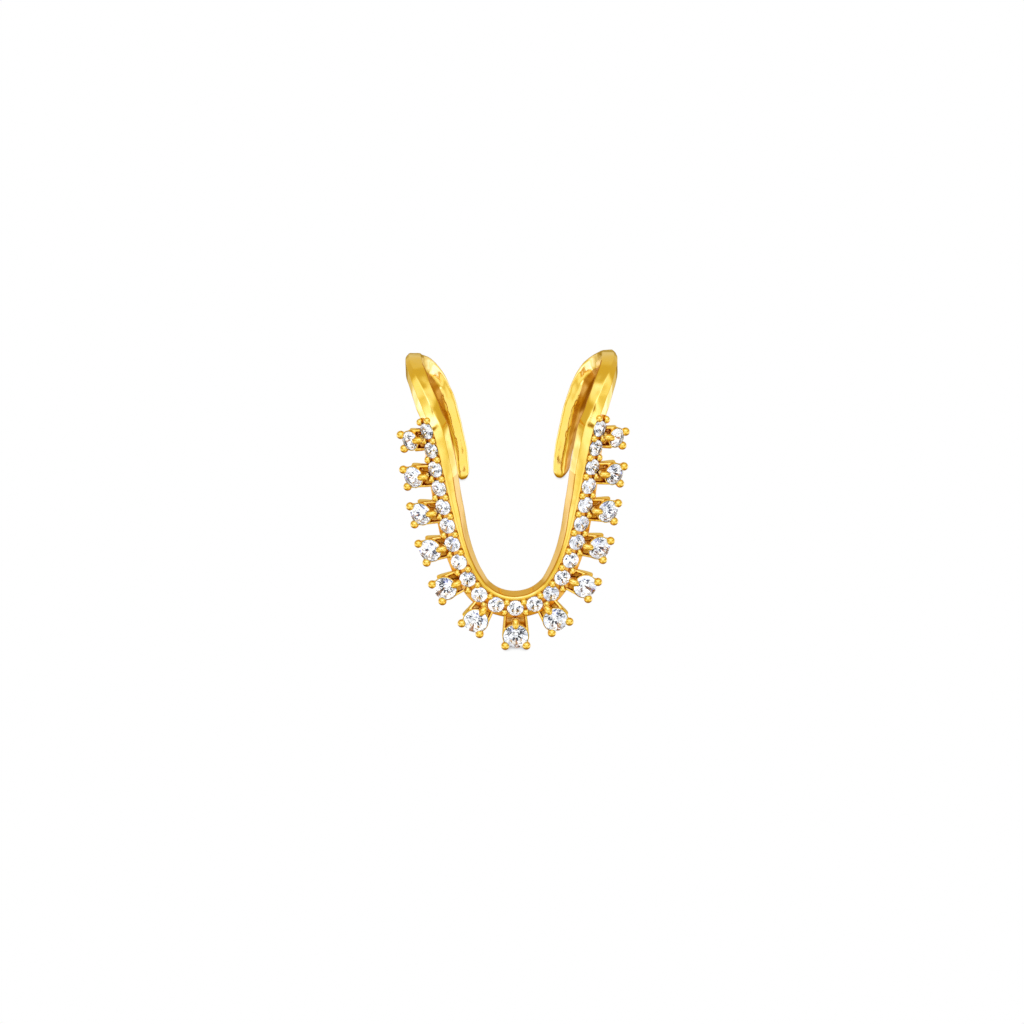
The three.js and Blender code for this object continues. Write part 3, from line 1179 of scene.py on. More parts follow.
@dataclass
class Brilliant:
    """A round brilliant cut.

    Its sizes are shares of the diameter, and those of the star, the lower girdle facet and the arrow are
    shares of the facets' own length. weld and cutter_tip are in millimetres.
    """

    table: float = 0.56
    crown: float = 0.15
    girdle: float = 0.04
    pavilion: float = 0.42
    star: float = 0.5
    lower_girdle: float = 0.76
    fold: int = 8
    girdle_steps: int = 4
    arrow: float = 0.34
    arrow_luck: float = -0.02
    weld: float = 1e-5
    cutter_tip: float = 0.02

    @staticmethod
    def plain_outline(diameter: float) -> list[tuple[float, float, float]]:
        """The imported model's plainer stone.

        Args:
            diameter: The stone's diameter.

        Returns:
            Its corners.
        """
        cut = Brilliant()
        half = cut.girdle * diameter / 2
        table = (cut.table * diameter / 2, half + cut.crown * diameter)
        rims = [(diameter / 2, -half), (diameter / 2, half), table]
        turns = [2 * math.pi * k / cut.fold for k in range(cut.fold)]
        corners = [(r * math.sin(t), r * math.cos(t), z) for r, z in rims for t in turns]
        return [*corners, (0, 0, -half - cut.pavilion * diameter)]

    def build(self, seat: Seat, turn: float) -> bpy.types.Object:
        """A stone in its seat.

        Args:
            seat: Where it stands.
            turn: How far its facets are turned about its axis, in radians.

        Returns:
            The object: crown and table in slot 0, pavilion in slot 1, its dark arrows of painted shade in
                slot 2.
        """
        work = bmesh.new()
        # Which pavilion mains get an arrow of painted shade.
        dark = [luck(turn * 5 + 0.37 * k, 2.7 * k, 0.3) > self.arrow_luck for k in range(self.fold)]
        radius = seat.diameter / 2
        half = self.girdle * seat.diameter / 2
        top, culet = (half + share * seat.diameter for share in (self.crown, self.pavilion))
        self._side(work, CutSide(radius, half, self.table * radius, top, turn, True), dark)
        self._side(work, CutSide(radius, half, 0.0, culet, turn, False), dark)
        bmesh.ops.remove_doubles(work, verts=work.verts, dist=self.weld)
        rims = [e for e in work.edges if e.is_boundary]
        bmesh.ops.bridge_loops(work, edges=rims)
        bmesh.ops.recalc_face_normals(work, faces=work.faces)
        for face in work.faces:
            face.smooth = False
            if not face.material_index:
                face.material_index = 1 if face.calc_center_median().z < -half / 2 else 0
        data = bpy.data.meshes.new(seat.name)
        work.to_mesh(data)
        work.free()
        return Bench.place(Bench.thing(f"cut_{seat.name}", data), seat.frame())

    def _side(self, work: bmesh.types.BMesh, side: CutSide, dark: list[bool]) -> None:
        """Adds the crown or the pavilion.

        Args:
            work: The stone's mesh.
            side: The crown's or the pavilion's sizes.
            dark: Which of the pavilion's mains have a dark arrow of painted shade.
        """
        step = 2 * math.pi / self.fold
        slope = (side.top - side.rim) / (side.radius - side.flat)
        corner = side.flat * math.cos(step / 2)
        share = self.star if side.crown else 1 - self.lower_girdle
        tip = corner + share * (side.radius - corner)
        height = side.rim + (side.radius - tip * math.cos(step / 2)) * slope
        table = []
        for k in range(self.fold):
            main, after = k * step, (k + 1) * step
            middle = main + step / 2
            if side.crown:
                table.append(main)
                star = [(side.flat, main, side.top), (tip, middle, height), (side.flat, after, side.top)]
                work.faces.new([side.spot(work, *place) for place in star])
            head = (side.flat, main, side.top) if side.crown else (0, 0, side.top)
            rest = [(tip, main - step / 2, height), (side.radius, main, side.rim), (tip, middle, height)]
            kite = [side.spot(work, *place) for place in (head, *rest)]
            if side.crown:
                work.faces.new(kite)
            else:
                self._arrow(work, kite, dark[k])
            for start, end in ((main, middle), (middle, after)):
                self._girdle_facet(work, side, (tip, middle, height), start, end)
        if side.crown:
            work.faces.new([side.spot(work, side.flat, angle, side.top) for angle in table])

    def _arrow(self, work: bmesh.types.BMesh, kite: list[bmesh.types.BMVert], dark: bool) -> None:
        """Adds a pavilion main in three parts, the middle one being the shaft of an arrow.

        Args:
            work: The stone's mesh.
            kite: The main's corners from the culet round.
            dark: Whether the shaft is dark with painted shade.
        """
        culet, first, outer, last = kite
        near, far = (work.verts.new(v.co.lerp(outer.co, self.arrow)) for v in (first, last))
        work.faces.new([culet, first, last])
        shaft = work.faces.new([work.verts.new(v.co) for v in (first, near, far, last)])
        shaft.material_index = 2 if dark else 1
        work.faces.new([work.verts.new(near.co), outer, work.verts.new(far.co)])

    def _girdle_facet(
        self,
        work: bmesh.types.BMesh,
        side: CutSide,
        tip: tuple[float, float, float],
        start: float,
        end: float,
    ) -> None:
        """Adds one facet between a tip and the girdle.

        In a pavilion its edge beside a main is split where the arrow's shaft ends.

        Args:
            work: The stone's mesh.
            side: The crown's or the pavilion's sizes.
            tip: The radius, angle and height of the facet's tip.
            start: The angle at which it starts on the girdle.
            end: The angle at which it ends.
        """
        radius, rim = side.radius, side.rim
        apex = Vector((tip[0] * math.cos(tip[1]), tip[0] * math.sin(tip[1]), tip[2]))
        first, last = (Vector((radius * math.cos(a), radius * math.sin(a), rim)) for a in (start, end))
        normal = (first - apex).cross(last - apex).normalized()
        loop = [side.spot(work, *tip)]
        for k in range(self.girdle_steps + 1):
            angle = start + (end - start) * k / self.girdle_steps
            x, y = radius * math.cos(angle), radius * math.sin(angle)
            z = apex.z - (normal.x * (x - apex.x) + normal.y * (y - apex.y)) / normal.z
            loop.append(side.spot(work, radius, angle, z))
        if not side.crown and start < tip[1]:
            loop.insert(1, work.verts.new(loop[0].co.lerp(loop[1].co, self.arrow)))
        elif not side.crown:
            loop.append(work.verts.new(loop[0].co.lerp(loop[-1].co, self.arrow)))
        work.faces.new(loop)

    def cutter(self, seat: Seat, gap: float, open_top: float = 0.0, sides: int = 48) -> bpy.types.Object:
        """The space that a stone takes, with a gap round it.

        Args:
            seat: The stone's seat.
            gap: How wide the gap is.
            open_top: How high the wall runs straight up, or 0 to follow the crown.
            sides: How many sides the space has.

        Returns:
            The object, lying about its own axis.
        """
        radius = seat.diameter / 2 + gap
        half = self.girdle * seat.diameter / 2
        low = -half - self.pavilion * seat.diameter - gap
        profile = [(0.0, low), (self.cutter_tip, low), (radius, -half), (radius, half)]
        if open_top:
            profile += [(radius, open_top), (0.0, open_top)]
        else:
            top = half + self.crown * seat.diameter + gap
            profile += [(self.table * seat.diameter / 2 + gap, top), (0.0, top)]
        return Bench.spin("cutter", profile, sides)

    def drill(self, thing: bpy.types.Object, seats: list[Seat], gap: float, open_top: float) -> None:
        """Drills the seats of several stones, open above them.

        Args:
            thing: The piece that is drilled.
            seats: The stones' seats.
            gap: How wide the gap round each stone is.
            open_top: How high each hole runs straight up.
        """
        drills = [Bench.place(self.cutter(seat, gap, open_top), seat.frame()) for seat in seats]
        Bench.carve(thing, Bench.join("drills", drills))


# --- Band -----------------------------------------------------------------------------------------
class Zone(Enum):
    """The finishes of the band's faces, in slot order; all but the polish are darker gold that paints shade.
    """

    POLISH = 0
    CHANNEL = 1
    WALL = 2
    SHADED_RECESS = 3


class Corner(Enum):
    """The corners of the band's section, in order round it; a strip is named after the corner before it."""

    OUTER_BACK = 0
    OUTER_FACE = 1
    CHANNEL_FLOOR = 2
    CHANNEL_LIP = 3
    FACE_BEVEL = 4
    INNER_BEVEL = 5
    INNER_BACK = 6
    SLOPE = 7


@dataclass
class Band:
    """The swept band: row face in front, polished shank and free rounded tails.

    Sizes are in millimetres. The soft ones are the radii that the section's corners are rounded to, each
    at most flat_share of the flat beside it, and face_share is how much of its neighbour's the face's own
    outer corner has. The runs are the lengths over which one form changes into the next. cap_length
    counts the tail's outer sizes and channel_overrun row pitches, and cap_roundness is the power by which
    the cap gets thinner. The waves of the slope and of the hammer come in two sizes each, and slope_small
    and hammer_small say how strong the smaller ones are beside the larger.
    """

    layout: Layout
    step: float = 0.14
    cap_rings: int = 14
    cap_length: float = 1.5
    cap_tip: float = 0.02
    cap_roundness: float = 0.6
    channel_overrun: float = 0.72
    channel_run: Pair = (-1.0, 0.3)
    ledge_gap: float = 0.05
    lip: float = 0.06
    edge_soft: float = 0.12
    shank_soft: float = 0.1
    face_share: float = 0.8
    crisp: float = 0.03
    bevel_soft: float = 0.05
    inner_soft: float = 0.07
    back_soft: float = 0.13
    tail_back_soft: float = 0.3
    tail_slope_soft: float = 0.16
    flat_share: float = 0.45
    corner_points: int = 5
    extra: int = 3
    turn_start: float = 26.5
    shank_run: float = 3.0
    tail_run: float = 8.0
    slope_run: Pair = (3.0, 5.0)
    arm_shade: float = 15.5
    tail_face: float = 1.24
    broken_edge: float = 0.12
    slope_depth: float = 0.36
    slope_least: float = 0.3
    slope_steepness: float = 0.2
    slope_wave: float = 0.14
    slope_wave_sizes: Pair = (1.9, 0.7)
    slope_small: float = 0.5
    hammer: float = 0.065
    hammer_front: float = 0.25
    hammer_run: Pair = (8.0, 2.0)
    hammer_sizes: Pair = (2.1, 0.9)
    hammer_small: float = 0.4
    gap: float = 0.05
    pocket_top: float = 0.5
    crease: float = 32.0

    def row_end(self) -> float:
        """How far from the middle the row's channel runs."""
        return (self.layout.row_side + self.channel_overrun) * self.layout.row_pitch

    def slope(self, distance: float) -> Pair:
        """The slope of the tail's face towards the arm; elsewhere it is only a broken edge.

        Args:
            distance: Distance from the front's middle.

        Returns:
            How wide and how deep the slope is there.
        """
        size = self.layout.line.size
        before, after = self.slope_run
        share = ease(abs(distance), self.turn_start - before, self.turn_start + after)
        long, short = self.slope_wave_sizes
        wave = luck(distance / long, 0.3, 0.7) + self.slope_small * luck(distance / short, 1.3, 0.7)
        edge = self.broken_edge
        wide = max(edge, size("inner", distance) + size("outer", distance) - self.tail_face)
        wide = edge + share * (wide - edge + self.slope_wave * wave)
        deep = min(self.slope_depth, self.slope_least + self.slope_steepness * wide)
        return wide, edge + share * (deep - edge)

    def corners(self, distance: float) -> list[tuple[float, float, float]]:
        """The section's corners.

        Args:
            distance: Distance from the front's middle.

        Returns:
            Side, out and radius of each corner, in the order of Corner.
        """
        size = self.layout.line.size
        inner, outer, face, back, bevel = (size(name, distance) for name in SECTION_SIZES)
        sink = self.layout.row_sink * ease(self.row_end() - abs(distance), *self.channel_run)
        ledge = min(self.layout.row_diameter / 2 + self.ledge_gap, inner - bevel - self.lip)
        shank = ease(abs(distance), self.row_end(), self.row_end() + self.shank_run)
        soft = self.edge_soft + self.shank_soft * shank
        tail = ease(abs(distance), self.turn_start, self.turn_start + self.tail_run)
        wide, deep = self.slope(distance)
        return [
            (outer, deep - back, soft),
            (outer, face - sink, soft * self.face_share),
            (-ledge, face - sink, self.crisp),
            (-ledge - self.crisp, face, self.crisp),
            (bevel - inner, face, self.bevel_soft),
            (-inner, face - bevel, self.inner_soft),
            (-inner, -back, self.back_soft + self.tail_back_soft * tail),
            (outer - wide, -back, self.inner_soft + self.tail_slope_soft * tail),
        ]

    def section(self, distance: float) -> np.ndarray:
        """The section with its corners rounded.

        Args:
            distance: Distance from the front's middle.

        Returns:
            The section's points as rows of side and out.
        """
        corners = self.corners(distance)
        loop = []
        for i, (x, y, radius) in enumerate(corners):
            here = np.array([x, y])
            ends = []
            for other in (corners[i - 1], corners[(i + 1) % len(corners)]):
                way = np.array(other[:2]) - here
                length = np.linalg.norm(way)
                ends.append(here + way / max(length, TINY) * min(radius, self.flat_share * length))
            for t in np.linspace(0, 1, self.corner_points):
                loop.append((1 - t) ** 2 * ends[0] + 2 * t * (1 - t) * here + t * t * ends[1])
        return self._filled(np.array(loop))

    def _filled(self, loop: np.ndarray) -> np.ndarray:
        """Adds points along the long flats, so that waves have something to bend.

        Args:
            loop: The section's points with their rounded corners.

        Returns:
            The points with the new ones among them.
        """
        made = []
        points = self.corner_points
        for i in range(0, len(loop), points):
            made.extend(loop[i : i + points])
            a, b = loop[i + points - 1], loop[(i + points) % len(loop)]
            made.extend(a + (b - a) * (k + 1) / (self.extra + 1) for k in range(self.extra))
        return np.array(made)

    def stations(self) -> list[Pair]:
        """The rings that the band is swept through.

        Returns:
            Each ring's distance from the front's middle and its scale, which closes the rounded ends.
        """
        line = self.layout.line
        cap = line.size("outer", line.length / 2) * self.cap_length
        straight = line.length / 2 - cap
        steps = int(round(2 * straight / self.step))
        middle = [((k / steps - 0.5) * 2 * straight, 1.0) for k in range(steps + 1)]
        turns = [(k + 1) / self.cap_rings * math.pi / 2 for k in range(self.cap_rings)]
        end = [(straight + cap * math.sin(t), max(math.cos(t), self.cap_tip)) for t in turns]
        return [(-d, s) for d, s in reversed(end)] + middle + end

    def _hammered(self, points: np.ndarray, distance: float) -> np.ndarray:
        """Pushes a ring of points in and out by the soft waves of hand finishing, strongest on the shank.

        Args:
            points: The ring's points, one row each.
            distance: The ring's distance from the front's middle.

        Returns:
            The moved points.
        """
        before, after = self.hammer_run
        shank = ease(abs(distance), self.row_end() - before, self.row_end() + after)
        amount = self.hammer * (self.hammer_front + (1 - self.hammer_front) * shank)
        large, small = self.hammer_sizes
        centre = points.mean(axis=0)
        made = points.copy()
        for k, point in enumerate(points):
            way = point - centre
            way /= max(np.linalg.norm(way), TINY)
            spot = Vector(point)
            value = luck(*spot / large) + self.hammer_small * luck(*spot / small)
            made[k] = point + way * amount * value
        return made

    def _zone(self, number: int, distance: float) -> Zone:
        """The finish of one strip of the band: painted shade in the channel, on the front's inner wall and
        in the recesses.

        Args:
            number: The strip's number round the section.
            distance: Distance from the front's middle.

        Returns:
            The finish there.
        """
        index, part = divmod(number, self.corner_points + self.extra)
        corner, flat, place = Corner(index), part >= self.corner_points - 1, abs(distance)
        tail = place > self.turn_start
        # Painted shade on the tail's slope and its outer back edge.
        if tail and (corner is Corner.SLOPE and flat or corner is Corner.OUTER_BACK):
            return Zone.SHADED_RECESS
        # Painted shade in the row's channel.
        if corner in (Corner.OUTER_FACE, Corner.CHANNEL_FLOOR) and place < self.row_end():
            return Zone.CHANNEL
        # Painted shade on the front's inner wall and its rounded edges, below arm_shade.
        if corner is Corner.INNER_BEVEL and place < self.arm_shade:
            return Zone.WALL if flat else Zone.SHADED_RECESS
        # Painted shade on the rounded inner back edge, short of the tails.
        if corner is Corner.INNER_BACK and not flat and place < self.turn_start:
            return Zone.SHADED_RECESS
        return Zone.POLISH

    def _ring(self, distance: float, scale: float) -> np.ndarray:
        """One ring of the sweep, wrapped round the finger.

        Args:
            distance: Distance from the front's middle.
            scale: How far the section is closed towards the tail's end.

        Returns:
            The ring's points, one row each.
        """
        section = self.section(distance)
        point, _, side = self.layout.line.at(distance)
        middle, depth = (section.min(axis=0) + section.max(axis=0)) / 2
        across = middle + (section[:, 0] - middle) * scale
        out = depth + (section[:, 1] - depth) * scale**self.cap_roundness
        flat = np.column_stack([point[0] + side[0] * across, point[1] + side[1] * across, out])
        return self._hammered(self.layout.hoop.wrap(flat), distance)

    def build(self) -> bpy.types.Object:
        """The whole band.

        Returns:
            The object, with a drilled seat under every row stone and its finishes in the order of Zone.
        """
        stations = self.stations()
        rings = [self._ring(distance, scale) for distance, scale in stations]
        band = Bench.tube("band", rings)
        for finish in (SHANK_GOLD, CHANNEL_SHADE_GOLD, WALL_SHADE_GOLD, PAINTED_SHADE_GOLD):
            band.data.materials.append(finish.material())
        count = len(rings[0])
        for number, (distance, _) in enumerate(stations[:-1]):
            for strip in range(count):
                zone = self._zone(strip, distance)
                band.data.polygons[number * count + strip].material_index = zone.value
        Brilliant().drill(band, self.layout.row_seats(), self.gap, self.pocket_top)
        Bench.shade(band, self.crease)
        return band


@dataclass
class GrainBeads:
    """The pairs of raised grains that hold the row stones.

    The strays are how far they differ by chance, and stretch and tallness how much longer and taller than
    wide they are.
    """

    layout: Layout
    radius: float = 0.32
    spread: float = 0.53
    rise: float = 0.13
    stretch: float = 1.12
    tallness: float = 1.1
    stray_along: float = 0.05
    stray_across: float = 0.03
    stray_size: float = 0.12
    rings: int = 13
    sides: int = 20
    crease: float = 60.0

    def build(self) -> bpy.types.Object:
        """All grains.

        Returns:
            One object with every grain, as its own closed skin.
        """
        grains = []
        side_count = self.layout.row_side
        for k in range(2 * side_count + 2):
            place = (k - side_count - 0.5) * self.layout.row_pitch
            for way in Way:
                grains.append(self._grain(place, way, len(grains)))
        beads = Bench.join("row_beads", grains)
        Bench.shade(beads, self.crease)
        return beads

    def _grain(self, place: float, way: Way, number: int) -> bpy.types.Object:
        """One grain, a little different from its neighbours.

        Args:
            place: Its distance from the front's middle.
            way: The edge of the band that it is nearer to, right being the outer one.
            number: Its number, which its differences come from.

        Returns:
            The grain in its place.
        """
        along_luck, across_luck, size_luck = (luck(number * 1.7, 3.1 * k, 0.5) for k in range(3))
        line = self.layout.line
        point, _, side = line.at(place + self.stray_along * along_luck)
        spot = point + side * way.value * (self.spread + self.stray_across * across_luck)
        out = line.size("face", place) - self.layout.row_sink + self.rise
        radius = self.radius * (1 + self.stray_size * size_luck)
        turns = np.linspace(0, math.pi, self.rings)
        profile = [(radius * math.sin(t), -radius * math.cos(t)) for t in turns]
        grain = Bench.spin("grain", profile, self.sides)
        axis = self.layout.hoop.outward(spot[0])
        seat = Seat("grain", self.layout.spot(spot, out), axis, Vector((0, 0, 1)), 0)
        shape = Matrix.Diagonal((1.0, self.stretch, self.tallness, 1.0))
        return Bench.place(grain, seat.frame() @ shape)


# --- Settings -------------------------------------------------------------------------------------
@dataclass
class Setting:
    """The cup, stem, ball prongs and claw that hold one fringe stone.

    Sizes are in millimetres in the seat's own frame: x is across, y out from the row and z the stone's
    axis, from the girdle's middle. depth is a share of the stone's diameter and the other shares are of
    its radius. The powers and cup_swell say how round a form is, from near 0, square, to 1, round. The
    notch is cut into the cup between the ball prongs, and its angles are in degrees from straight out.
    The stem flares and lifts along these parts of its length and dips at these distances from the row's
    line. The neck is where a wire swells and where it meets its ball, in ball radii under the ball's
    middle. ball_out and claw_out are in radii of the ball and the claw, and hollow_inset counts rails.
    """

    seat: Seat
    neighbours: list[Seat]
    rim: float = 0.12
    depth: float = 0.6
    cup_foot_share: float = 0.62
    cup_top: float = 0.02
    cup_swell: float = 0.85
    cup_levels: int = 8
    cup_sides: int = 56
    notch: float = 0.2
    notch_angles: Pair = (22.0, 46.0)
    stem_inset: float = 0.02
    stem_start: float = 0.25
    stem_end_share: float = 0.45
    stem_under: float = 0.4
    stem_over: float = 0.42
    stem_flare: Pair = (0.25, 0.95)
    stem_lift: Pair = (0.0, 0.9)
    stem_dip: Pair = (0.95, 1.35)
    stem_powers: Pair = (0.3, 0.3)
    stem_rings: int = 17
    stem_sides: int = 48
    shaded_recess: float = 0.72
    rail: float = 0.13
    rail_start: float = 0.5
    rail_over: float = 0.4
    rail_end_share: float = 0.1
    rail_end: float = -0.06
    rail_tall: float = 0.9
    rail_floor: float = 0.1
    rail_powers: Pair = (0.6, 0.4)
    rail_rings: int = 13
    rail_sides: int = 20
    ball: float = 0.4
    ball_out: float = 0.45
    ball_height: float = 0.12
    wire: float = 0.29
    wire_foot_share: float = 0.62
    wire_foot: float = 0.2
    claw: float = 0.34
    claw_out: float = 0.55
    claw_height: float = 0.16
    claw_length: float = 1.6
    claw_foot_share: float = 0.7
    claw_foot: float = 0.3
    neck: Pair = (1.05, 0.8)
    neck_swell: float = 1.02
    ball_rings: int = 9
    prong_sides: int = 24
    grain: float = 0.045
    smoothing: int = 2
    crease: float = 40.0
    gap: float = 0.04
    pocket_top: float = 0.5
    hollow_inset: float = 1.6
    hollow_end_share: float = 0.75
    hollow_top: float = -0.5
    hollow_level: float = 0.2

    def __post_init__(self) -> None:
        """Takes the stone's sizes."""
        self.radius = self.seat.diameter / 2
        self.floor = -self.depth * self.seat.diameter
        self.reach = self.seat.fringe.reach
        self.lift = self.seat.fringe.lift

    def _side(self, pair: Pair, way: Way) -> float:
        """The number of a pair for this side across; a pair names the side towards the shank first."""
        return pair[1] if way.value * self.seat.way.value > 0 else pair[0]

    def _cup(self) -> bpy.types.Object:
        """The cup, which hugs the stone at the sides and slips inside its edge between the prongs.

        Returns:
            The object.
        """
        turn = Bench.angles(self.cup_sides)
        away = np.degrees(np.abs(np.angle(np.exp(1j * (turn - np.pi / 2)))))
        notched = np.array([1 - ease(a, *self.notch_angles) for a in away])
        top = self.radius + self.rim - notched * self.notch
        low = np.full(len(turn), self.radius * self.cup_foot_share)
        rings = []
        for k in range(self.cup_levels):
            share = k / (self.cup_levels - 1)
            radius = low + (top - low) * share**self.cup_swell
            rings.append(Bench.ring(radius, self.floor + (self.cup_top - self.floor) * share, turn))
        return Bench.tube("cup", rings)

    def _stem(self) -> bpy.types.Object:
        """The stem: a block whose walls run straight from the band to the prongs, low towards the stone.

        Returns:
            The object.
        """
        start, end = self.stem_start - self.reach, self.radius * self.stem_end_share
        left, right = (self._side(self.seat.fringe.stem, way) for way in Way)
        across, up = Bench.rounded_square(self.stem_sides, self.stem_powers)
        widest = self.radius + self.rim - self.stem_inset
        before, after = (edge - self.reach for edge in self.stem_dip)
        rings = []
        for k in range(self.stem_rings):
            share = k / (self.stem_rings - 1)
            y = start + (end - start) * share
            flare = ease(share, *self.stem_flare)
            walls = [wall + (max(wall, widest) - wall) * flare for wall in (left, right)]
            under, over = self.stem_under, self.stem_over
            lifted = ease(share, *self.stem_lift)
            low = -self.lift - under + (self.floor + self.lift + under) * lifted
            high = over - self.lift + (self.lift - over - self.shaded_recess) * ease(y, before, after)
            x = (walls[1] - walls[0]) / 2 + (walls[0] + walls[1]) / 2 * across
            z = (low + high) / 2 + (high - low) / 2 * up
            rings.append(np.column_stack([x, np.full(len(x), y), z]))
        return Bench.tube("stem", rings)

    def _rail(self, way: Way) -> bpy.types.Object:
        """The stem's raised side wall, from the band to where the cup is widest.

        Args:
            way: The side across that it is on.

        Returns:
            The object.
        """
        wall = self._side(self.seat.fringe.stem, way)
        start = np.array([wall - self.rail, self.rail_start - self.reach, self.rail_over - self.lift])
        edge = self.radius + self.rim - self.rail
        end = np.array([edge, self.rail_end_share * self.radius, self.rail_end])
        across, up = Bench.rounded_square(self.rail_sides, self.rail_powers)
        rings = []
        for k in range(self.rail_rings):
            x, y, high = start + (end - start) * k / (self.rail_rings - 1)
            low = max(high - self.rail_tall, self.floor + self.rail_floor)
            wide = way.value * (x + self.rail * across)
            tall = (high + low) / 2 + (high - low) / 2 * up
            rings.append(np.column_stack([wide, np.full(len(wide), y), tall]))
        return Bench.tube("rail", rings)

    def _prong(self, foot: Vector, tip: Vector, wire: float, ball: float, length: float) -> bpy.types.Object:
        """A round wire with a full round ball at its tip.

        Args:
            foot: Where the wire starts.
            tip: The ball's middle.
            wire: The wire's radius.
            ball: The ball's radius.
            length: How many times longer than wide the prong is out from the row.

        Returns:
            The object.
        """
        axis = tip - foot
        reach = axis.length
        below, neck = (reach - ball * share for share in self.neck)
        profile = [(0.0, 0.0), (wire, 0.0), (wire, below), (wire * self.neck_swell, neck)]
        start = math.asin(min(1.0, wire * self.neck[0] / ball)) if wire < ball else math.pi / 2
        for k in range(self.ball_rings - 1):
            t = start + (math.pi - start) * k / (self.ball_rings - 1)
            profile.append((ball * math.sin(t), reach - ball * math.cos(t)))
        profile.append((0.0, reach + ball))
        prong = Bench.spin("prong", profile, self.prong_sides)
        seat = Seat("prong", foot, axis, Vector((0, 1, 0)), 0)
        return Bench.place(prong, seat.frame() @ Matrix.Diagonal((1.0, length, 1.0, 1.0)))

    def _prongs(self) -> list[bpy.types.Object]:
        """The two ball prongs outside and the claw towards the row.

        Returns:
            The three objects.
        """
        prongs = []
        for way in Way:
            angle = math.radians(self._side(self.seat.fringe.spread, way)) * way.value
            aim = Vector((math.sin(angle), math.cos(angle), 0))
            foot = aim * self.radius * self.wire_foot_share + Vector((0, 0, self.floor + self.wire_foot))
            tip = aim * (self.radius + self.ball * self.ball_out) + Vector((0, 0, self.ball_height))
            prongs.append(self._prong(foot, tip, self.wire, self.ball, 1.0))
        foot = Vector((0, -self.radius * self.claw_foot_share, self.floor + self.claw_foot))
        tip = Vector((0, -self.radius - self.claw * self.claw_out, self.claw_height))
        prongs.append(self._prong(foot, tip, self.claw, self.claw, self.claw_length))
        return prongs

    def build(self) -> bpy.types.Object:
        """The whole setting as one casting.

        Returns:
            The object, with the seats of its own stone and of the row stones beside it cut out.
        """
        parts = [self._cup(), self._stem(), *(self._rail(way) for way in Way), *self._prongs()]
        setting = Bench.join(self.seat.name.replace("fringe_stone", "setting"), parts)
        Bench.melt(setting, self.grain, self.smoothing)
        cut = Brilliant()
        Bench.carve(setting, cut.cutter(self.seat, self.gap))
        Bench.place(setting, self.seat.frame())
        cut.drill(setting, self.neighbours, self.gap, self.pocket_top)
        self._paint_hollow_shade(setting)
        Bench.shade(setting, self.crease)
        return setting

    def _paint_hollow_shade(self, setting: bpy.types.Object) -> None:
        """Paints shade on the floor of the hollow between the stem's walls, giving it the darker gold in
        slot 1.

        Args:
            setting: The setting's object, in its place.
        """
        back = self.seat.frame().inverted()
        turn = back.to_3x3()
        inset = self.hollow_inset * self.rail
        left, right = (self._side(self.seat.fringe.stem, way) - inset for way in Way)
        start, end = self.rail_start - self.reach, -self.hollow_end_share * self.radius
        for face in setting.data.polygons:
            spot = back @ face.center
            inside = -left < spot.x < right and start < spot.y < end and spot.z < self.hollow_top
            if inside and (turn @ face.normal).z > self.hollow_level:
                face.material_index = 1


# --- Assembly -------------------------------------------------------------------------------------
@dataclass
class VankiRing:
    """The whole ring; beside is how near a row stone is to a stem that it cuts into."""

    layout: Layout
    beside: float = 2.6

    def build(self) -> None:
        """Builds and dresses every piece."""
        band = Band(self.layout).build()
        Bench.finish(band, self.layout, "gold", [], ("ring_body",))
        beads = GrainBeads(self.layout).build()
        Bench.finish(beads, self.layout, "gold", [BEAD_GOLD.material()])
        row, fringe = self.layout.row_seats(), self.layout.fringe_seats()
        for seat in fringe:
            foot = seat.point - seat.forward * seat.fringe.reach
            beside = [s for s in row if (s.point - foot).length < self.beside]
            setting = Setting(seat, beside).build()
            Bench.finish(setting, self.layout, "gold", [CAST_GOLD.material(), PAINTED_SHADE_GOLD.material()])
        cut = Brilliant()
        dressing = [finish.material() for finish in (CROWN_CLEAR, PAVILION_MIRROR, PAVILION_SHADE)]
        for number, seat in enumerate([*row, *fringe]):
            stone = cut.build(seat, math.pi * luck(number * 2.3, 0.7, 1.9))
            Bench.finish(stone, self.layout, "stone", dressing, (seat.name,))


# --- Studio ---------------------------------------------------------------------------------------
@dataclass(frozen=True)
class Card:
    """A soft bright or dark card in the studio: its strength is added to the light from its direction.

    Azimuth 0 is on the camera's side and 90 on the right, inner and outer are the angles from the card's
    middle at which it starts to fade and has faded, and all four are in degrees.
    """

    azimuth: float
    elevation: float
    inner: float
    outer: float
    strength: float

    def direction(self) -> Vector:
        """The unit vector towards the card."""
        a, e = math.radians(self.azimuth), math.radians(self.elevation)
        return Vector((math.sin(a) * math.cos(e), -math.cos(a) * math.cos(e), math.sin(e)))


def card_pair(azimuth: float, *sizes: float) -> tuple[Card, ...]:
    """The same card on the left and on the right."""
    return tuple(Card(way.value * azimuth, *sizes) for way in Way)


GOLD_CARDS = (
    Card(0, 48, 5, 13, -1.05),
    Card(0, 48, 16, 34, 0.36),
    Card(0, 48, 30, 60, 0.3),
    Card(0, 90, 20, 42, 0.45),
    *card_pair(46, -4, 14, 30, 0.5),
    *card_pair(88, -22, 12, 26, 0.5),
    *card_pair(65, -12, 4, 11, -0.25),
    Card(0, -90, 40, 66, -0.34),
    Card(180, -5, 15, 35, 0.1),
    *card_pair(106, -32, 8, 26, 0.5),
    *card_pair(56, -22, 2, 7, 0.6),
    *card_pair(136, -38, 10, 22, 0.35),
    *card_pair(100, 45, 8, 24, 0.5),
)

STONE_CARDS = (
    Card(0, 90, 12, 40, 0.35),
    Card(-34, 66, 3, 7, -1.2),
    Card(36, 30, 3, 7, -1.2),
    Card(-110, 40, 5, 10, -1.1),
    Card(140, 55, 5, 10, -1.1),
)


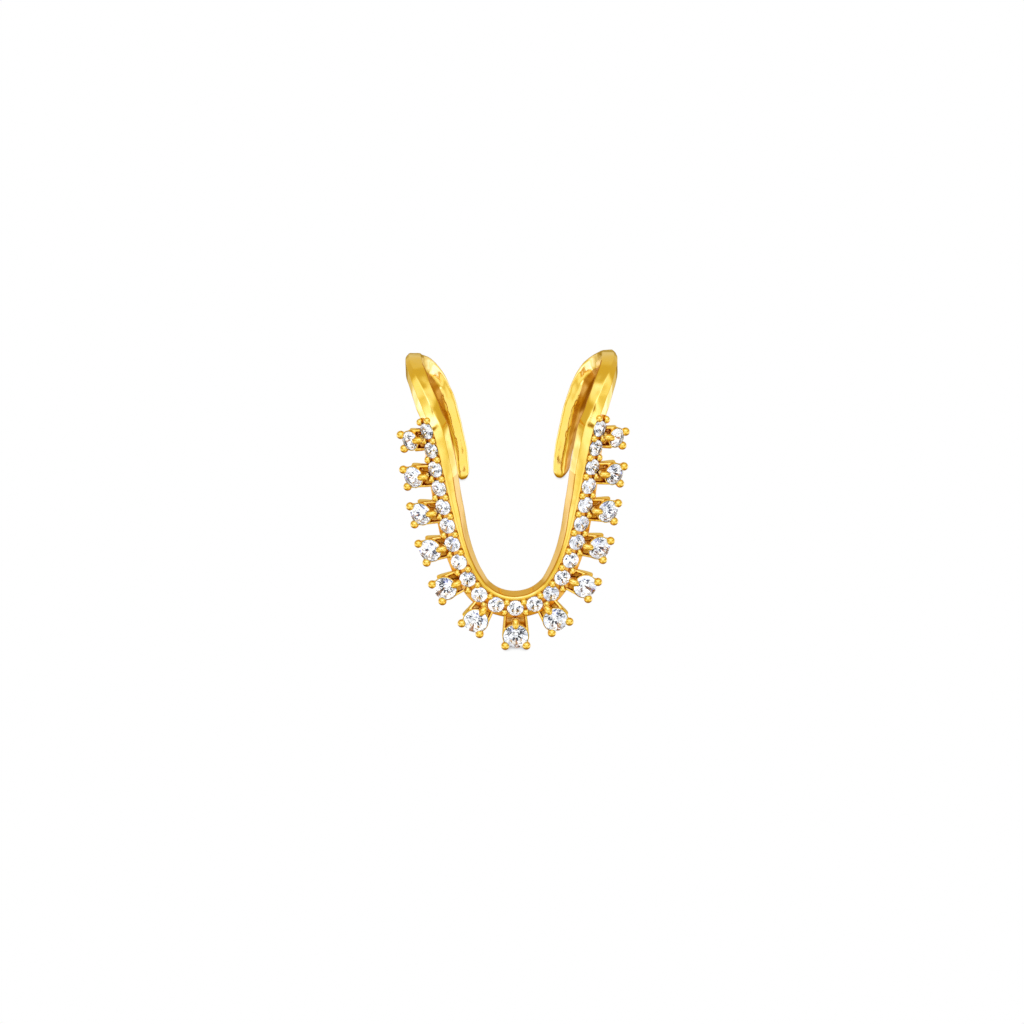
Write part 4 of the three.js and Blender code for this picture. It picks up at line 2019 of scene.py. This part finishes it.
@dataclass
class Studio:
    """The plain floor, the soft light and the camera.

    ambient and darkest are strengths of the light, and warmth holds the powers for red, green and blue.
    floor_size and clip are in metres, elevation and yaw in degrees, and the other sizes in millimetres.
    contact_fade is how open a place on the floor is, and contact_shade how bright that makes it in the
    painted contact shadow.
    """

    ambient: float = 0.64
    stone_ambient: float = 1.35
    darkest: float = 0.03
    warmth: tuple[float, float, float] = (0.85, 1.3, 3.3)
    stone_light: Colour = (1.0, 1.0, 0.99, 1.0)
    floor_size: float = 3.0
    contact: float = 1.0
    contact_fade: Pair = (0.05, 0.6)
    contact_shade: Pair = (0.45, 1.0)
    elevation: float = 48.26
    yaw: float = 1.15
    distance: float = 400.0
    lens: float = 150.1875
    sensor: float = 36.0
    right: float = 0.1
    up: float = 3.58
    clip: Pair = (0.01, 50.0)

    def build(self) -> None:
        """Builds everything round the ring."""
        self._world()
        self._floor()
        self._camera()
        scene = bpy.context.scene
        scene.view_settings.view_transform = "Standard"
        scene.view_settings.look = "None"
        scene.view_settings.exposure = 0.0
        scene.cycles.max_bounces = 16
        scene.cycles.transmission_bounces = 12
        scene.cycles.glossy_bounces = 8
        scene.cycles.sample_clamp_indirect = 6.0
        scene.cycles.use_denoising = True

    def _light(
        self, wiring: Wiring, look: bpy.types.NodeSocket, ambient: float, cards: tuple[Card, ...]
    ) -> bpy.types.NodeSocket:
        """How bright the tent is in each direction.

        Args:
            wiring: The world's wiring.
            look: The direction.
            ambient: The light where there is no card.
            cards: The cards in the tent.

        Returns:
            The brightness.
        """
        total: object = ambient
        for card in cards:
            dot = {"operation": "DOT_PRODUCT"}
            aim = wiring.add("ShaderNodeVectorMath", dot, i0=look, i1=card.direction())
            inner, outer = math.cos(math.radians(card.inner)), math.cos(math.radians(card.outer))
            glow = wiring.spread(aim.outputs["Value"], (outer, inner), (0.0, card.strength))
            total = wiring.math("ADD", total, glow)
        return wiring.math("MAXIMUM", total, self.darkest)

    def _world(self) -> None:
        """A tent: warm where dark for the gold, neutral through the stones, plain white for the camera."""
        world = bpy.data.worlds.new("studio")
        world.use_nodes = True
        bpy.context.scene.world = world
        world.node_tree.nodes.clear()
        wiring = Wiring(world.node_tree)
        look = wiring.add("ShaderNodeTexCoord").outputs["Generated"]
        gold = self._light(wiring, look, self.ambient, GOLD_CARDS)
        channels = {f"i{k}": wiring.math("POWER", gold, power) for k, power in enumerate(self.warmth)}
        warm = wiring.add("ShaderNodeCombineColor", **channels).outputs[0]
        sparkle = self._light(wiring, look, self.stone_ambient, STONE_CARDS)
        tents = ((warm, 1.0), (self.stone_light, sparkle), ((1.0, 1.0, 1.0, 1.0), 1.0))
        for_gold, for_stone, plain = (
            wiring.add("ShaderNodeBackground", Color=colour, Strength=strength).outputs[0]
            for colour, strength in tents
        )
        path = wiring.add("ShaderNodeLightPath").outputs
        both = wiring.add("ShaderNodeMixShader", i0=path["Is Transmission Ray"], i1=for_gold, i2=for_stone)
        all_ = wiring.add("ShaderNodeMixShader", i0=path["Is Camera Ray"], i1=both.outputs[0], i2=plain)
        wiring.add("ShaderNodeOutputWorld", Surface=all_.outputs[0])

    def _floor(self) -> None:
        """A large plain white floor with a painted contact shadow only close under the ring; it lights
        nothing.
        """
        half = self.floor_size / 2
        corners = np.array([[-half, -half, 0], [half, -half, 0], [half, half, 0], [-half, half, 0]])
        floor = Bench.mesh("floor", corners, [(0, 1, 2, 3)])
        material = bpy.data.materials.new("floor_paper")
        material.use_nodes = True
        wiring = Wiring(material.node_tree)
        # Painted contact shadow: ambient occlusion dims the floor's white close under the ring.
        near = wiring.add("ShaderNodeAmbientOcclusion", {"samples": 16}, Distance=self.contact * MM)
        wiring.feed(
            material.node_tree.nodes["Principled BSDF"],
            Base_Color=(0.0, 0.0, 0.0, 1.0),
            Roughness=1.0,
            Specular_IOR_Level=0.0,
            Emission_Color=(1.0, 1.0, 1.0, 1.0),
            Emission_Strength=wiring.spread(near.outputs["AO"], self.contact_fade, self.contact_shade),
        )
        floor.data.materials.append(material)
        for ray in ("diffuse", "glossy", "transmission", "shadow"):
            setattr(floor, f"visible_{ray}", False)
        floor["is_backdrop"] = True

    def _camera(self) -> None:
        """The camera, looking from in front and above at the resting ring."""
        low, high = (Vector(corner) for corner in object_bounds())
        e, a = math.radians(self.elevation), math.radians(self.yaw)
        look = Vector((math.sin(a) * math.cos(e), math.cos(a) * math.cos(e), -math.sin(e)))
        right = Vector((math.cos(a), -math.sin(a), 0))
        up = right.cross(look)
        aim = (low + high) / 2 - (right * self.right + up * self.up) * MM
        data = bpy.data.cameras.new("camera")
        data.sensor_width = self.sensor
        data.lens = self.lens
        data.clip_start, data.clip_end = self.clip
        camera = bpy.data.objects.new("camera", data)
        turn = Matrix((right, up, -look)).transposed().to_4x4()
        camera.matrix_world = Matrix.Translation(aim - look * self.distance * MM) @ turn
        bpy.context.scene.collection.objects.link(camera)
        bpy.context.scene.camera = camera


def main() -> None:
    """Loads the frame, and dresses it."""
    logging.basicConfig(level=logging.INFO, format="%(name)s: %(message)s")
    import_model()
    Studio().build()
    VankiRing(Layout()).build()
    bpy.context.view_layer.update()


if __name__ == "__main__":
    main()
